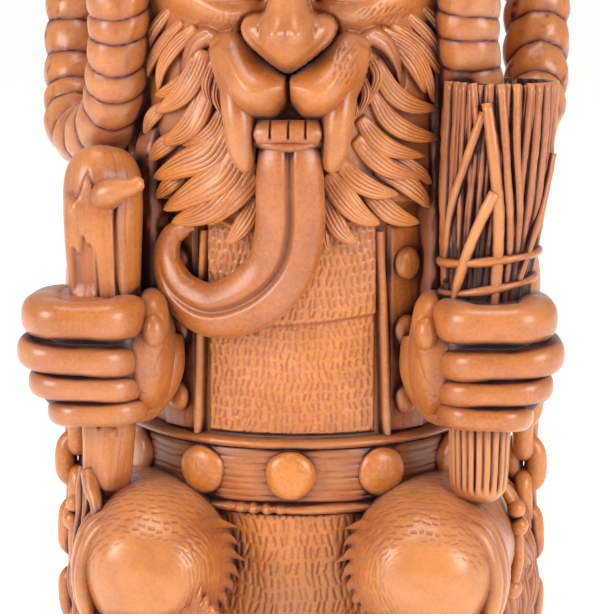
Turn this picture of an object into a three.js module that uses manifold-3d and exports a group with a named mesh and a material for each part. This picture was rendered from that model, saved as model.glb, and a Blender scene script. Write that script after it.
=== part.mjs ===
// A horned-beast cocktail mug: a slip-cast vessel with cast and press-moulded clay pieces luted to its wall.
// Millimetres, +Z up, the face looks along -Y, and the origin is the middle of the foot.
// "left" and "right" are as seen by someone who faces the mug.
import * as THREE from "three";
import { mergeVertices } from "three/addons/utils/BufferGeometryUtils.js";
import Module from "manifold-3d";

const wasm = await Module();
wasm.setup();
const { Vector2, Vector3 } = THREE;

// ---- driving dimensions: vessel ----
const height = 197; // foot to lip
const wallRadius = 35; // outside of the plain vessel
const wall = 4; // clay thickness of the vessel
const floorThickness = 6;
const footInset = 2; // the foot is this much smaller than the wall
const footHeight = 3;
const lipFlare = 1.5;
const lipHeight = 8;
const joint = 0.3; // the slip joint left open between two pieces
const seat = wallRadius + joint; // where a piece sits on the vessel

// ---- driving dimensions: belt and tunic ----
const beltHeight = 64.4; // middle of the belt above the foot
const beltWidth = 10.9;
const beltThickness = 1.7;
const beltEdgeWidth = 1.8;
const beltEdgeThickness = 2.8;
const beltStudRadius = 5;
const beltStudRise = 2.4;
const clothThickness = 1.3;
const strapThickness = 1;
const pipingWidth = 1.7;
const pipingThickness = 2.3;
const tunicHalfWidth = 17.2;
const strapOuterX = 27.5;
const strapStudRadius = 3.3;
const strapStudRise = 2;
const strapStudDrops = [12, 26, 40]; // below the collar

// ---- driving dimensions: head, heights given as drops below the lip ----
const hairTopDrop = 5;
const foreheadDrop = 17;
const browDrop = 25.5;
const eyeDrop = 33;
const noseTipDrop = 45.7;
const muzzleDrop = 54.2;
const teethDrop = 62;
const mouthDrop = 64.5;
const collarDrop = 78; // top of the tunic
const faceThickness = 4.2;
const hairThickness = 3.6;
const beardThickness = 4.6;
const faceHalfWidth = 28;
const hornRadius = 7.4; // at the root
const hornReach = 20; // the horn's middle beyond the wall, where it stands out most

// ---- driving dimensions: limbs and what they hold ----
const fistHeight = 88;
const fingerRadius = 3.5;
const knuckleX = 54; // the fists' outer sides
const clubRadius = 7.4;
const clubTop = 130;
const clubTail = 28.6; // from the middle of the fist to the club's point
const bundleRadius = 10.4;
const bundleTop = 144;
const bundleTail = 27;
const twigCordRadius = 0.9;
const kneeX = 27.5;
const kneeHeight = 49.5;
const kneeRadius = 15.6;
const haunchRadius = 17.5;
const hoofHeight = 13;
const hoofRadius = 11.5;
const chainWire = 1.8; // half the thickness of a link
const chainLinkLength = 13.4;
const chainLinkWidth = 8.4;
const chainTop = 78;
const beadRadius = 1.9;

// ---- heights worked out from them ----
const lipZ = height;
const beltTop = beltHeight + beltWidth / 2;
const beltBottom = beltHeight - beltWidth / 2;
const tunicBottom = beltTop + beltEdgeWidth + 2 * joint;
const skirtTop = beltBottom - beltEdgeWidth - 2 * joint;
const collarZ = lipZ - collarDrop;
const mouthZ = lipZ - mouthDrop;
const fistOut = 4; // the held rods stand this far outside the wall's side
const rodX = wallRadius + fistOut + 0.3;

// A point on a cylinder "out" beyond the wall, at x from the middle, on the face's side.
function front(x, out, z) {
  const r = wallRadius + out;
  return new Vector3(x, -Math.sqrt(r * r - x * x), z);
}

// A point "out" beyond the wall, at an angle in degrees from the face towards side * X.
function around(side, angle, out, z) {
  const a = THREE.MathUtils.degToRad(angle);
  const r = wallRadius + out;
  return new Vector3(side * r * Math.sin(a), -r * Math.cos(a), z);
}

// A closed three.js geometry as a solid.
function solid(geometry) {
  const bare = geometry.clone();
  bare.deleteAttribute("normal");
  bare.deleteAttribute("uv");
  const merged = mergeVertices(bare, 1e-4);
  const made = new wasm.Manifold(
    new wasm.Mesh({
      numProp: 3,
      vertProperties: new Float32Array(merged.attributes.position.array),
      triVerts: new Uint32Array(merged.index.array),
    }),
  );
  return made;
}

// A profile of [radius, z] pairs turned about Z.
function turned(profile, segments = 40) {
  const points = profile.map(([r, z]) => new Vector2(r, z));
  return solid(new THREE.LatheGeometry(points, segments).rotateX(Math.PI / 2));
}

// A ring with a rectangular section.
function band(inner, outer, low, high) {
  return turned([
    [inner, low],
    [outer, low],
    [outer, high],
    [inner, high],
    [inner, low],
  ]);
}

// An ellipsoid.
function ball(centre, radii, grow = 0) {
  const sphere = new THREE.SphereGeometry(1, 12, 7);
  sphere.scale(...radii.map((r) => r + grow));
  sphere.translate(...centre.toArray());
  return solid(sphere);
}

// A closed tube through places, with a half-width and a half-thickness at each, its thickness turned towards "up".
// It is a lathe shape bent along the curve through the places.
function limb(places, sizes, { up, grow = 0, sides = 8, steps = 2 * places.length - 2, flat = 1 }) {
  const curve = new THREE.CatmullRomCurve3(places);
  const sizeAt = (t) => {
    const i = Math.min(Math.floor(t * (sizes.length - 1)), sizes.length - 2);
    return THREE.MathUtils.lerp(sizes[i], sizes[i + 1], t * (sizes.length - 1) - i);
  };
  const profile = [new Vector2(0, 0)];
  for (let i = 0; i <= steps; i++) {
    profile.push(new Vector2(1, i));
  }
  profile.push(new Vector2(0, steps));
  const shape = new THREE.LatheGeometry(profile, sides);
  const position = shape.attributes.position;
  for (let k = 0; k < position.count; k++) {
    const t = position.getY(k) / steps;
    const along = curve.getTangent(t);
    const facing = typeof up === "function" ? up(curve.getPoint(t)) : up;
    const across = new Vector3().crossVectors(along, facing).normalize();
    const outward = new Vector3().crossVectors(across, along).normalize();
    const r = sizeAt(t);
    const end = t === 0 ? -grow : t === 1 ? grow : 0;
    const at = curve
      .getPoint(t)
      .addScaledVector(along, end)
      .addScaledVector(across, position.getX(k) * (r + grow))
      .addScaledVector(outward, position.getZ(k) * (r * flat + grow));
    position.setXYZ(k, at.x, at.y, at.z);
  }
  return facingOut(solid(shape));
}

// A solid whose faces point out, whichever way its lathe ran.
function facingOut(made) {
  if (made.volume() > 0) {
    return made;
  }
  const mesh = made.getMesh();
  const turnedRound = mesh.triVerts.slice().reverse();
  return new wasm.Manifold(
    new wasm.Mesh({ numProp: 3, vertProperties: mesh.vertProperties, triVerts: turnedRound }),
  );
}

// The horizontal way out from the vessel's axis.
const outwards = (point) => new Vector3(point.x, point.y, 0).normalize();

// A relief that hugs the vessel: a ring on the wall, cut to an outline of [x, z] seen from the front or the back.
function relief(outline, thickness, { back = false, from = seat, grow = 0 } = {}) {
  const shape = new THREE.Shape(outline.map(([x, z]) => new Vector2(x, z)));
  const reach = 3 * wallRadius;
  const prism = new THREE.ExtrudeGeometry(shape, { depth: reach, bevelEnabled: false });
  prism.rotateX(Math.PI / 2);
  if (back) {
    prism.rotateZ(Math.PI);
  }
  const heights = outline.map(([, z]) => z);
  const ring = band(from - grow, from + thickness + grow, Math.min(...heights), Math.max(...heights));
  return solid(prism).intersect(ring);
}

const box = (x0, x1, z0, z1, grow) => [
  [x0 - grow, z0 - grow],
  [x1 + grow, z0 - grow],
  [x1 + grow, z1 + grow],
  [x0 - grow, z1 + grow],
];

// ---- colours of the brown glaze on each kind of piece ----
const glaze = {
  vessel: { color: 0xb87338, roughness: 0.42, metalness: 0 },
  skin: { color: 0xc47c3e, roughness: 0.4, metalness: 0 },
  hair: { color: 0xb06a34, roughness: 0.45, metalness: 0 },
  horn: { color: 0xbd7436, roughness: 0.42, metalness: 0 },
  cloth: { color: 0xb56b36, roughness: 0.5, metalness: 0 },
  wood: { color: 0xba7234, roughness: 0.45, metalness: 0 },
  iron: { color: 0xa9622f, roughness: 0.45, metalness: 0 },
};

// Pieces in the order in which they are luted on. Each is trimmed to the ones before it, with the joint between them.
const pieces = [];
function piece(name, finish, make) {
  pieces.push({ name, finish, make });
}

// ---- vessel ----
function barrel(grow = 0) {
  return turned([
    [0, -grow],
    [wallRadius - footInset + grow, -grow],
    [wallRadius + grow, footHeight],
    [wallRadius + grow, lipZ - lipHeight],
    [wallRadius + lipFlare + grow, lipZ - lipHeight / 3],
    [wallRadius + lipFlare / 2 + grow, lipZ + grow],
    [0, lipZ + grow],
  ]);
}

function cavity() {
  const inner = wallRadius - wall;
  return turned([
    [0, floorThickness],
    [inner - wall, floorThickness],
    [inner, floorThickness + wall],
    [inner, lipZ - lipHeight],
    [inner + lipFlare, lipZ - 1],
    [inner + lipFlare + 0.8, lipZ + 1],
    [0, lipZ + 1],
  ]);
}

piece("mug_body", "vessel", (grow) => (grow ? barrel(grow) : barrel().subtract(cavity())));

// ---- belt ----
piece("belt_band", "cloth", (grow) =>
  band(seat - grow, seat + beltThickness + grow, beltBottom + joint - grow, beltTop - joint + grow),
);
piece("belt_upper_edge", "cloth", (grow) =>
  band(seat - grow, seat + beltEdgeThickness + grow, beltTop - grow, beltTop + beltEdgeWidth + grow),
);
piece("belt_lower_edge", "cloth", (grow) =>
  band(seat - grow, seat + beltEdgeThickness + grow, beltBottom - beltEdgeWidth - grow, beltBottom + grow),
);
// The studs stand every 30 degrees, but not where the haunches cover the belt.
const beltStudAngles = [-60, -30, 0, 30, 60, 120, 150, 180, 210, 240];
beltStudAngles.forEach((angle, i) => {
  piece(`belt_stud_${i + 1}`, "iron", (grow) => {
    const stud = new THREE.SphereGeometry(1, 12, 6);
    stud.scale(beltStudRadius + grow, beltStudRise + grow, beltStudRadius + grow);
    stud.translate(0, -(seat + beltThickness), beltHeight);
    stud.rotateZ(THREE.MathUtils.degToRad(angle));
    return solid(stud);
  });
});

// ---- horns: root behind the temple, back and down, then forward under the ear and up beside the face ----
function horn(side, grow) {
  const stations = [
    [97, -2, 13, 1],
    [102, 7, 9, 1.02],
    [105, hornReach - 3, 16, 1],
    [104.5, hornReach, 33, 0.96],
    [99, hornReach - 1.5, 49, 0.93],
    [89, 14.5, 61, 0.9],
    [74, 11, 65.5, 0.88],
    [60, 9, 61, 0.86],
    [53, 9.6, 50, 0.84],
    [51, 10.2, 37, 0.83],
    [51.5, 12.5, 25.5, 0.68],
    [52.5, 16.5, 16, 0.3],
  ];
  const places = stations.map(([angle, out, drop]) => around(side, angle, out, lipZ - drop));
  const sizes = stations.map(([, , , share]) => share * hornRadius);
  const loopNormal = new Vector3(side * 0.92, -0.39, 0);
  return limb(places, sizes, { up: loopNormal, grow, steps: 26, sides: 10 });
}
piece("left_horn", "horn", (grow) => horn(-1, grow));
piece("right_horn", "horn", (grow) => horn(1, grow));

// ---- what the fists hold, each with the web of clay that ties it to the vessel ----
function web(side, low, high, halfWidth, grow) {
  const length = wallRadius * 0.5;
  const slab = new THREE.BoxGeometry(2 * (halfWidth + grow), length, high - low + 2 * grow);
  slab.translate(0, -(wallRadius + length / 2 - 2), (low + high) / 2);
  slab.rotateZ(side * THREE.MathUtils.degToRad(51));
  return solid(slab);
}

function club(grow) {
  const waist = (clubTop + fistHeight) / 2;
  const z = [clubTop, clubTop - 6, waist, fistHeight, fistHeight - 0.6 * clubTail, fistHeight - clubTail];
  const out = [13.5, 14, 14.5, 14.5, 15.5, 17];
  const angle = [52.5, 52, 51, 48.5, 46, 45.5];
  const share = [0.72, 1, 1, 0.82, 0.66, 0.3];
  const places = z.map((height, i) => around(-1, angle[i], out[i], height));
  const rod = limb(places, share.map((s) => s * clubRadius), { up: outwards, grow, sides: 10 });
  return rod.add(web(-1, fistHeight - 10, clubTop - 12, 3.5, grow));
}
piece("club", "wood", club);

function bundle(grow) {
  const neck = (bundleTop - 14 + fistHeight) / 2;
  const z = [bundleTop, bundleTop - 14, neck, fistHeight, fistHeight - 0.55 * bundleTail, fistHeight - bundleTail];
  const out = [16.6, 16.4, 15.5, 16, 17, 18];
  const angle = [54.5, 53.5, 52, 49.5, 47.5, 47];
  const share = [1, 0.98, 0.82, 0.67, 0.61, 0.5];
  const places = z.map((height, i) => around(1, angle[i], out[i], height));
  const rod = limb(places, share.map((s) => s * bundleRadius), { up: outwards, grow, sides: 12 });
  return rod.add(web(1, fistHeight - 10, bundleTop - 22, 5, grow));
}
piece("twig_bundle", "wood", bundle);

// Cords tied round the bundle, open at the back where the web joins the vessel.
function binding(z, out, angle, share) {
  return (grow) => {
    const ringRadius = share * bundleRadius + joint + twigCordRadius + 0.15;
    const ring = new THREE.TorusGeometry(ringRadius, twigCordRadius + grow, 6, 20);
    const middle = around(1, angle, out, z);
    ring.translate(middle.x, middle.y, middle.z);
    return solid(ring);
  };
}
piece("upper_binding", "wood", binding(fistHeight + 21, 15.6, 52.1, 0.83));
piece("lower_binding", "wood", binding(fistHeight + 15.4, 15.6, 51.6, 0.79));

// ---- fists: four fingers and a thumb round the rod, on a hand behind it ----
function fist(side, grow) {
  const rod = around(side, side < 0 ? 48.5 : 49.5, side < 0 ? 14.5 : 16, fistHeight);
  const rodRadius = side < 0 ? 0.82 * clubRadius : 0.67 * bundleRadius;
  const grip = rodRadius + joint + fingerRadius + 0.6;
  const middle = side * (knuckleX - fingerRadius - grip);
  const up = new Vector3(0, 0, 1);
  let hand = ball(new Vector3(middle, rod.y + 7.5, fistHeight - 0.5), [13, 8.5, 13.6], grow);
  for (let i = 0; i < 4; i++) {
    const z = fistHeight + 9.8 - i * 1.95 * fingerRadius;
    const bend = [-40, 0, 35, 75, 115, 150].map((degrees) => {
      const a = THREE.MathUtils.degToRad(degrees);
      return new Vector3(middle + side * grip * Math.cos(a), rod.y - grip * Math.sin(a), z);
    });
    const thick = fingerRadius * (1.04 - 0.05 * i);
    const sizes = [thick, thick, thick, thick, 0.92 * thick, 0.6 * thick];
    hand = hand.add(limb(bend, sizes, { up, grow, sides: 6, steps: 6 }));
  }
  const inner = middle - side * (grip + 1.2);
  const thumb = [
    new Vector3(inner, rod.y + 7, fistHeight + 9),
    new Vector3(inner, rod.y - 1, fistHeight + 8),
    new Vector3(inner + side * 0.5, rod.y - 4.5, fistHeight + 1),
    new Vector3(inner + side * 1.5, rod.y - 5, fistHeight - 4),
  ];
  const thumbSizes = [3.4, 3.5, 3.1, 1.6];
  return hand.add(limb(thumb, thumbSizes, { up: new Vector3(side, 0, 0), grow, sides: 6 }));
}
piece("left_fist", "skin", (grow) => fist(-1, grow));
piece("right_fist", "skin", (grow) => fist(1, grow));

// ---- arms: shoulder, elbow behind, wrist ----
function arm(side, grow) {
  const shoulderZ = collarZ + 1;
  const places = [
    new Vector3(side * (wallRadius - 2), 3, shoulderZ),
    new Vector3(side * (wallRadius + 6), 8, shoulderZ - 10),
    new Vector3(side * (wallRadius + 9), 8, fistHeight + 6),
    new Vector3(side * (wallRadius + 8), -4, fistHeight),
    new Vector3(side * rodX, -wallRadius + 16, fistHeight),
  ];
  return limb(places, [8, 8.2, 8, 7.5, 7], { up: new Vector3(side, 0, 0), grow });
}
piece("left_arm", "skin", (grow) => arm(-1, grow));
piece("right_arm", "skin", (grow) => arm(1, grow));

// ---- mouth ----
piece("upper_teeth", "skin", (grow) => {
  const z = lipZ - teethDrop;
  return relief(box(-6.3, 6.3, z - 2.2, z + 2.4, grow), 5.6, { from: wallRadius + 6.5, grow });
});
function fang(side, grow) {
  const places = [
    front(side * 9.8, 9.5, mouthZ + 7.5),
    front(side * 9.4, 11, mouthZ + 1),
    front(side * 7.9, 11.5, mouthZ - 5.2),
  ];
  return limb(places, [3.4, 3, 0.9], { up: outwards, grow, sides: 8, steps: 3 });
}
piece("left_fang", "skin", (grow) => fang(-1, grow));
piece("right_fang", "skin", (grow) => fang(1, grow));

// The tongue hangs from the mouth and curls up to the left.
const tongueStations = [
  [0, 9.2, 1.5, 6.3],
  [0, 8, -8, 6.3],
  [-1, 6.3, -18, 6.2],
  [-5, 5.5, -27, 5.8],
  [-12, 5, -33.3, 4.9],
  [-19.7, 4.6, -31.7, 3.8],
  [-25, 4.2, -26, 3],
  [-24.6, 3.9, -21, 2.2],
  [-20.5, 3.7, -19, 1.4],
];
piece("tongue", "skin", (grow) =>
  limb(
    tongueStations.map(([x, out, rise]) => front(x, out, mouthZ + rise)),
    tongueStations.map(([, , , size]) => size),
    { up: outwards, grow, flat: 0.6, steps: 16 },
  ),
);

// ---- nose, muzzle, eyes and brow ----
piece("nose", "skin", (grow) => {
  const z = lipZ - noseTipDrop;
  const tip = ball(front(0, 13.2, z), [6.2, 6, 5.6], grow);
  const wing = (side) => ball(front(side * 6.2, 10.5, z + 1.2), [3.7, 4.5, 3.9], grow);
  const bridge = [front(0, 12, z + 1), front(0, 9, z + 9), front(0, 5, z + 17)];
  return tip
    .add(wing(-1))
    .add(wing(1))
    .add(limb(bridge, [4.6, 3.7, 3.6], { up: outwards, grow }));
});
piece("muzzle", "skin", (grow) => {
  const z = lipZ - muzzleDrop;
  const lobe = (side) => ball(front(side * 7.3, 9.4, z), [8.1, 6.4, 8.2], grow);
  const cheekRoll = (side) => ball(front(side * 11.2, 6.5, z + 5), [5, 5, 5], grow);
  return lobe(-1).add(lobe(1)).add(cheekRoll(-1)).add(cheekRoll(1));
});
piece("left_eye", "skin", (grow) => ball(front(-12.5, 3.6, lipZ - eyeDrop), [6.4, 2.8, 3], grow));
piece("right_eye", "skin", (grow) => ball(front(12.5, 3.6, lipZ - eyeDrop), [6.4, 2.8, 3], grow));
piece("brow_ridge", "skin", (grow) => {
  const z = lipZ - browDrop;
  const places = [
    front(-24, 2.4, z - 3),
    front(-13, 5, z + 0.6),
    front(0, 6, z - 3.4),
    front(13, 5, z + 0.6),
    front(24, 2.4, z - 3),
  ];
  return limb(places, [2.6, 3.8, 3.4, 3.8, 2.6], { up: outwards, grow, steps: 12 });
});

// ---- legs: haunch beside the vessel, thigh forward to the knee, shin down to the hoof ----
function leg(side, grow) {
  const haunch = ball(
    new Vector3(side * (wallRadius - 1), 14, 30),
    [haunchRadius, haunchRadius + 6, haunchRadius + 11.5],
    grow,
  );
  const kneeY = -(wallRadius + 6.5);
  const thigh = [
    new Vector3(side * (wallRadius - 1), 4, kneeHeight - 8),
    new Vector3(side * (kneeX + 3), -wallRadius * 0.55, kneeHeight - 1),
    new Vector3(side * kneeX, kneeY + 4, kneeHeight),
    new Vector3(side * kneeX, kneeY - 5, kneeHeight),
    new Vector3(side * kneeX, kneeY - 11.5, kneeHeight - 0.5),
    new Vector3(side * kneeX, kneeY - 14.5, kneeHeight - 1),
  ];
  const thighSizes = [15, 16.4, kneeRadius, 0.93 * kneeRadius, 0.65 * kneeRadius, 0.25 * kneeRadius];
  const shin = [
    new Vector3(side * kneeX, kneeY - 2, kneeHeight - 5),
    new Vector3(side * kneeX, kneeY - 4, kneeHeight - 22),
    new Vector3(side * kneeX, kneeY - 3, hoofHeight + joint),
  ];
  const up = new Vector3(1, 0, 0);
  return haunch
    .add(limb(thigh, thighSizes, { up, grow, sides: 12, steps: 10 }))
    .add(limb(shin, [11, 10, 9.4], { up, grow, sides: 10, steps: 3 }));
}
function hoof(side, grow) {
  const profile = [
    [0, 0],
    [hoofRadius, 0],
    [0.95 * hoofRadius, 0.45 * hoofHeight],
    [0.8 * hoofRadius, hoofHeight],
    [0, hoofHeight],
  ];
  const points = profile.map(([r, z]) => new Vector2(r ? r + grow : 0, z ? z + grow : -grow));
  const shape = new THREE.LatheGeometry(points, 20).rotateX(Math.PI / 2);
  return solid(shape.translate(side * kneeX, -(wallRadius + 9.5), 0));
}
piece("left_hoof", "horn", (grow) => hoof(-1, grow));
piece("right_hoof", "horn", (grow) => hoof(1, grow));
piece("left_leg", "hair", (grow) => leg(-1, grow));
piece("right_leg", "hair", (grow) => leg(1, grow));

// ---- chains that hang from the wrists down the haunches: links by turns flat and edge on ----
function chain(side, grow) {
  const pitch = chainLinkLength - 3 * chainWire;
  const count = Math.floor((chainTop - chainLinkLength / 2) / pitch);
  const radius = chainLinkWidth / 2;
  const straight = chainLinkLength / 2 - radius;
  const outline = new THREE.Shape();
  outline.absarc(0, straight, radius + grow, 0, Math.PI);
  outline.absarc(0, -straight, radius + grow, Math.PI, 2 * Math.PI);
  let links = null;
  for (let i = 0; i < count; i++) {
    const thick = 2 * (chainWire + grow);
    const link = new THREE.ExtrudeGeometry(outline, { depth: thick, bevelEnabled: false, curveSegments: 5 });
    link.translate(0, 0, -thick / 2);
    link.rotateX(Math.PI / 2);
    link.rotateZ(i % 2 ? Math.PI / 2 : 0);
    const z = chainTop - chainLinkLength / 2 - i * pitch;
    const lean = Math.max(0, z - beltHeight);
    link.translate(side * (wallRadius + 16.8 - 0.14 * lean), 15 - 0.5 * lean, z);
    links = links ? links.add(solid(link)) : solid(link);
  }
  return links;
}
piece("left_chain", "iron", (grow) => chain(-1, grow));
piece("right_chain", "iron", (grow) => chain(1, grow));

// ---- a cord with two beads on the outer side of each thigh ----
function beadCord(side, grow) {
  const places = [
    new Vector3(side * (kneeX + 15.4), -wallRadius * 0.62, kneeHeight + 9.5),
    new Vector3(side * (kneeX + 19.3), -wallRadius * 0.6, kneeHeight + 1),
    new Vector3(side * (kneeX + 19.6), -wallRadius * 0.56, kneeHeight - 8),
    new Vector3(side * (kneeX + 18.2), -wallRadius * 0.5, kneeHeight - 15),
  ];
  const radii = [beadRadius, beadRadius, beadRadius];
  return limb(places, [1.2, 1.2, 1.2, 1.2], { up: outwards, grow, sides: 6 })
    .add(ball(places[1].clone(), radii, grow))
    .add(ball(places[3].clone(), radii, grow));
}
piece("left_bead_cord", "iron", (grow) => beadCord(-1, grow));
piece("right_bead_cord", "iron", (grow) => beadCord(1, grow));

// ---- tunic, its pipings, straps and studs ----
for (const [name, side] of [["left", -1], ["right", 1]]) {
  piece(`${name}_piping`, "cloth", (grow) => {
    const middle = side * (tunicHalfWidth + joint + pipingWidth / 2);
    const outline = box(middle - pipingWidth / 2, middle + pipingWidth / 2, tunicBottom, collarZ - 5, grow);
    return relief(outline, pipingThickness, { grow });
  });
  const strapInner = tunicHalfWidth + pipingWidth + 2 * joint;
  strapStudDrops.forEach((drop, i) => {
    piece(`${name}_strap_stud_${i + 1}`, "iron", (grow) => {
      const middle = front(side * (strapInner + strapOuterX) * 0.5, joint + strapThickness, collarZ - drop);
      const stud = new THREE.SphereGeometry(1, 10, 6);
      stud.scale(strapStudRadius + grow, strapStudRise + grow, strapStudRadius + grow);
      stud.rotateZ(Math.atan2(middle.x, -middle.y));
      stud.translate(middle.x, middle.y, middle.z);
      return solid(stud);
    });
  });
  piece(`${name}_strap`, "cloth", (grow) => {
    const ends = [side * strapInner, side * strapOuterX].sort((a, b) => a - b);
    return relief(box(...ends, tunicBottom, collarZ - 4, grow), strapThickness, { grow });
  });
}
piece("tunic_front", "cloth", (grow) =>
  relief(box(-tunicHalfWidth, tunicHalfWidth, tunicBottom, collarZ, grow), clothThickness, { grow }),
);
piece("tunic_back", "cloth", (grow) =>
  relief(box(-strapOuterX, strapOuterX, tunicBottom, collarZ - 2, grow), clothThickness, { grow, back: true }),
);
piece("tunic_skirt", "cloth", (grow) =>
  relief(box(-tunicHalfWidth, tunicHalfWidth, 12, skirtTop, grow), clothThickness, { grow }),
);

// ---- face plate, forelock, beard and back hair, fitted last round everything else on the head ----
const jawLine = [
  [faceHalfWidth, lipZ - 41],
  [faceHalfWidth - 3, lipZ - 55],
  [faceHalfWidth - 10, lipZ - 69],
  [faceHalfWidth - 15, collarZ + 1],
];
const faceTop = lipZ - foreheadDrop;
piece("face_plate", "skin", () => {
  const rightSide = [[faceHalfWidth, faceTop], ...jawLine];
  const leftSide = rightSide.map(([x, z]) => [-x, z]).reverse();
  return relief([...rightSide, ...leftSide], faceThickness);
});
piece("forelock", "hair", () =>
  relief(box(-faceHalfWidth, faceHalfWidth, faceTop + joint, lipZ - hairTopDrop, 0), hairThickness),
);
function beard(side) {
  const inner = jawLine.map(([x, z]) => [x + joint + 0.1, z]);
  const tufts = [
    [faceHalfWidth - 11, collarZ - 4],
    [faceHalfWidth - 8.5, collarZ - 8],
    [faceHalfWidth - 5.5, collarZ - 3],
    [faceHalfWidth - 2, collarZ - 4.5],
    [faceHalfWidth + 0.5, collarZ + 3],
    [faceHalfWidth + 3.2, collarZ + 3],
    [faceHalfWidth + 4.2, collarZ + 12],
    [faceHalfWidth + 5.4, collarZ + 17],
    [faceHalfWidth + 5.4, lipZ - 42],
  ];
  const outline = [...inner, ...tufts].map(([x, z]) => [side * x, z]);
  return relief(outline, beardThickness);
}
piece("left_beard", "hair", () => beard(-1));
piece("right_beard", "hair", () => beard(1));
piece("back_hair", "hair", () => {
  const ring = band(seat, seat + hairThickness, collarZ, lipZ - hairTopDrop);
  const faceSide = faceHalfWidth + 5.4 + joint;
  const opening = new THREE.BoxGeometry(2 * faceSide, 4 * wallRadius, 2 * height);
  return ring.subtract(solid(opening.translate(0, -2 * wallRadius, 0)));
});

// Trims each piece to the ones before it and keeps its main body, without the crumbs that a trim leaves.
const mug = new THREE.Group();
const placed = [];
for (const { name, finish, make } of pieces) {
  let body = make(0);
  for (const earlier of placed) {
    body = body.subtract(earlier);
  }
  const bodies = body.decompose().sort((a, b) => b.volume() - a.volume());
  const { vertProperties, triVerts, numProp } = bodies[0].getMesh();
  const geometry = new THREE.BufferGeometry();
  const corners = new Float32Array((vertProperties.length / numProp) * 3);
  for (let i = 0; i < corners.length / 3; i++) {
    corners.set(vertProperties.subarray(i * numProp, i * numProp + 3), 3 * i);
  }
  geometry.setAttribute("position", new THREE.BufferAttribute(corners, 3));
  geometry.setIndex(new THREE.BufferAttribute(triVerts, 1));
  geometry.computeVertexNormals();
  const mesh = new THREE.Mesh(geometry, new THREE.MeshStandardMaterial(glaze[finish]));
  mesh.name = name;
  mug.add(mesh);
  placed.push(make(joint));
}

export default mug;
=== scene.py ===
import math

import bpy
import numpy as np
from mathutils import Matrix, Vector


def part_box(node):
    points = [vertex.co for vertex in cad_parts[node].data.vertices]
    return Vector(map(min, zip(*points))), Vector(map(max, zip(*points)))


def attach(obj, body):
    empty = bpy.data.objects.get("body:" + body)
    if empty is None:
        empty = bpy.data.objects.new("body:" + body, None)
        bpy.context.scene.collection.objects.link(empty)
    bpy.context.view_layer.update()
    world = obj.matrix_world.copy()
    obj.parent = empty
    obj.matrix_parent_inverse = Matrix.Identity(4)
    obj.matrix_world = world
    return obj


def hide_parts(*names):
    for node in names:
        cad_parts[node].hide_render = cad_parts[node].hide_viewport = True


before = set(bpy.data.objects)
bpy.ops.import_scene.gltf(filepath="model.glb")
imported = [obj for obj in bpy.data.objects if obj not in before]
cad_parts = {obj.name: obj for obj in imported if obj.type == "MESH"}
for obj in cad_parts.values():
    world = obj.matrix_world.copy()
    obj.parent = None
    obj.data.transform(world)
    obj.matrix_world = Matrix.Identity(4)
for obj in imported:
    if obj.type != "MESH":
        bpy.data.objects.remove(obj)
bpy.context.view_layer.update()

# ---- camera, table and light ----
# A pale table top runs back behind the mug, under a soft box on each side of the lens and one overhead.
LENS = 129.0
LOOK_AT = Vector((0.0, 0.0, 0.093))
DISTANCE = 0.48
AZIMUTH = math.radians(3.0)
ELEVATION = math.radians(9.4)

towards = Vector((
    math.sin(AZIMUTH) * math.cos(ELEVATION),
    -math.cos(AZIMUTH) * math.cos(ELEVATION),
    math.sin(ELEVATION),
))
camera = bpy.data.objects.new("camera", bpy.data.cameras.new("camera"))
camera.data.lens = LENS
camera.data.clip_end = 50.0
camera.location = LOOK_AT + DISTANCE * towards
camera.rotation_euler = towards.to_track_quat("Z", "Y").to_euler()
bpy.context.scene.collection.objects.link(camera)
bpy.context.scene.camera = camera
bpy.context.scene.view_settings.view_transform = "Standard"

world = bpy.data.worlds.new("studio")
world.use_nodes = True
world.node_tree.nodes["Background"].inputs["Color"].default_value = (1.0, 0.99, 0.98, 1.0)
world.node_tree.nodes["Background"].inputs["Strength"].default_value = 0.5
bpy.context.scene.world = world


def soft_box(name, place, size, power):
    """A square area light at a place, turned to face the middle of the mug."""
    light = bpy.data.lights.new(name, "AREA")
    light.size = size
    light.energy = power
    box = bpy.data.objects.new(name, light)
    box.location = place
    box.rotation_euler = (Vector(place) - LOOK_AT).to_track_quat("Z", "Y").to_euler()
    bpy.context.scene.collection.objects.link(box)


soft_box("left_box", (-0.58, -0.46, 0.36), 0.38, 4.7)
soft_box("right_box", (0.6, -0.46, 0.34), 0.38, 4.3)
soft_box("top_box", (0.0, -0.1, 0.9), 0.4, 2.6)

table_mesh = bpy.data.meshes.new("table_top")
table_mesh.from_pydata([(-20, -20, 0), (20, -20, 0), (20, 20, 0), (-20, 20, 0)], [], [(0, 1, 2, 3)])
table = bpy.data.objects.new("table_top", table_mesh)
bpy.context.scene.collection.objects.link(table)
table_paint = bpy.data.materials.new("table_paint")
table_paint.use_nodes = True
table_shader = table_paint.node_tree.nodes["Principled BSDF"]
table_shader.inputs["Base Color"].default_value = (0.98, 0.98, 0.98, 1.0)
table_shader.inputs["Roughness"].default_value = 0.6
table_shader.inputs["Emission Color"].default_value = (1.0, 1.0, 1.0, 1.0)
table_shader.inputs["Emission Strength"].default_value = 0.5
table_mesh.materials.append(table_paint)


# ---- vessel ----
# The real vessel is slip-cast in a plaster mould and drained when its wall is thick enough. Everything else
# is luted to it before firing. It is glazed inside and out.
MM = 0.001
lip_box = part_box("mug_body")[1]
LIP = lip_box.z / MM  # height of the lip
FLARE = 1.5  # how far the lip stands out
WALL = lip_box.x / MM - FLARE  # outside radius of the plain wall
CLAY = 4.0  # thickness of the wall


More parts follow.
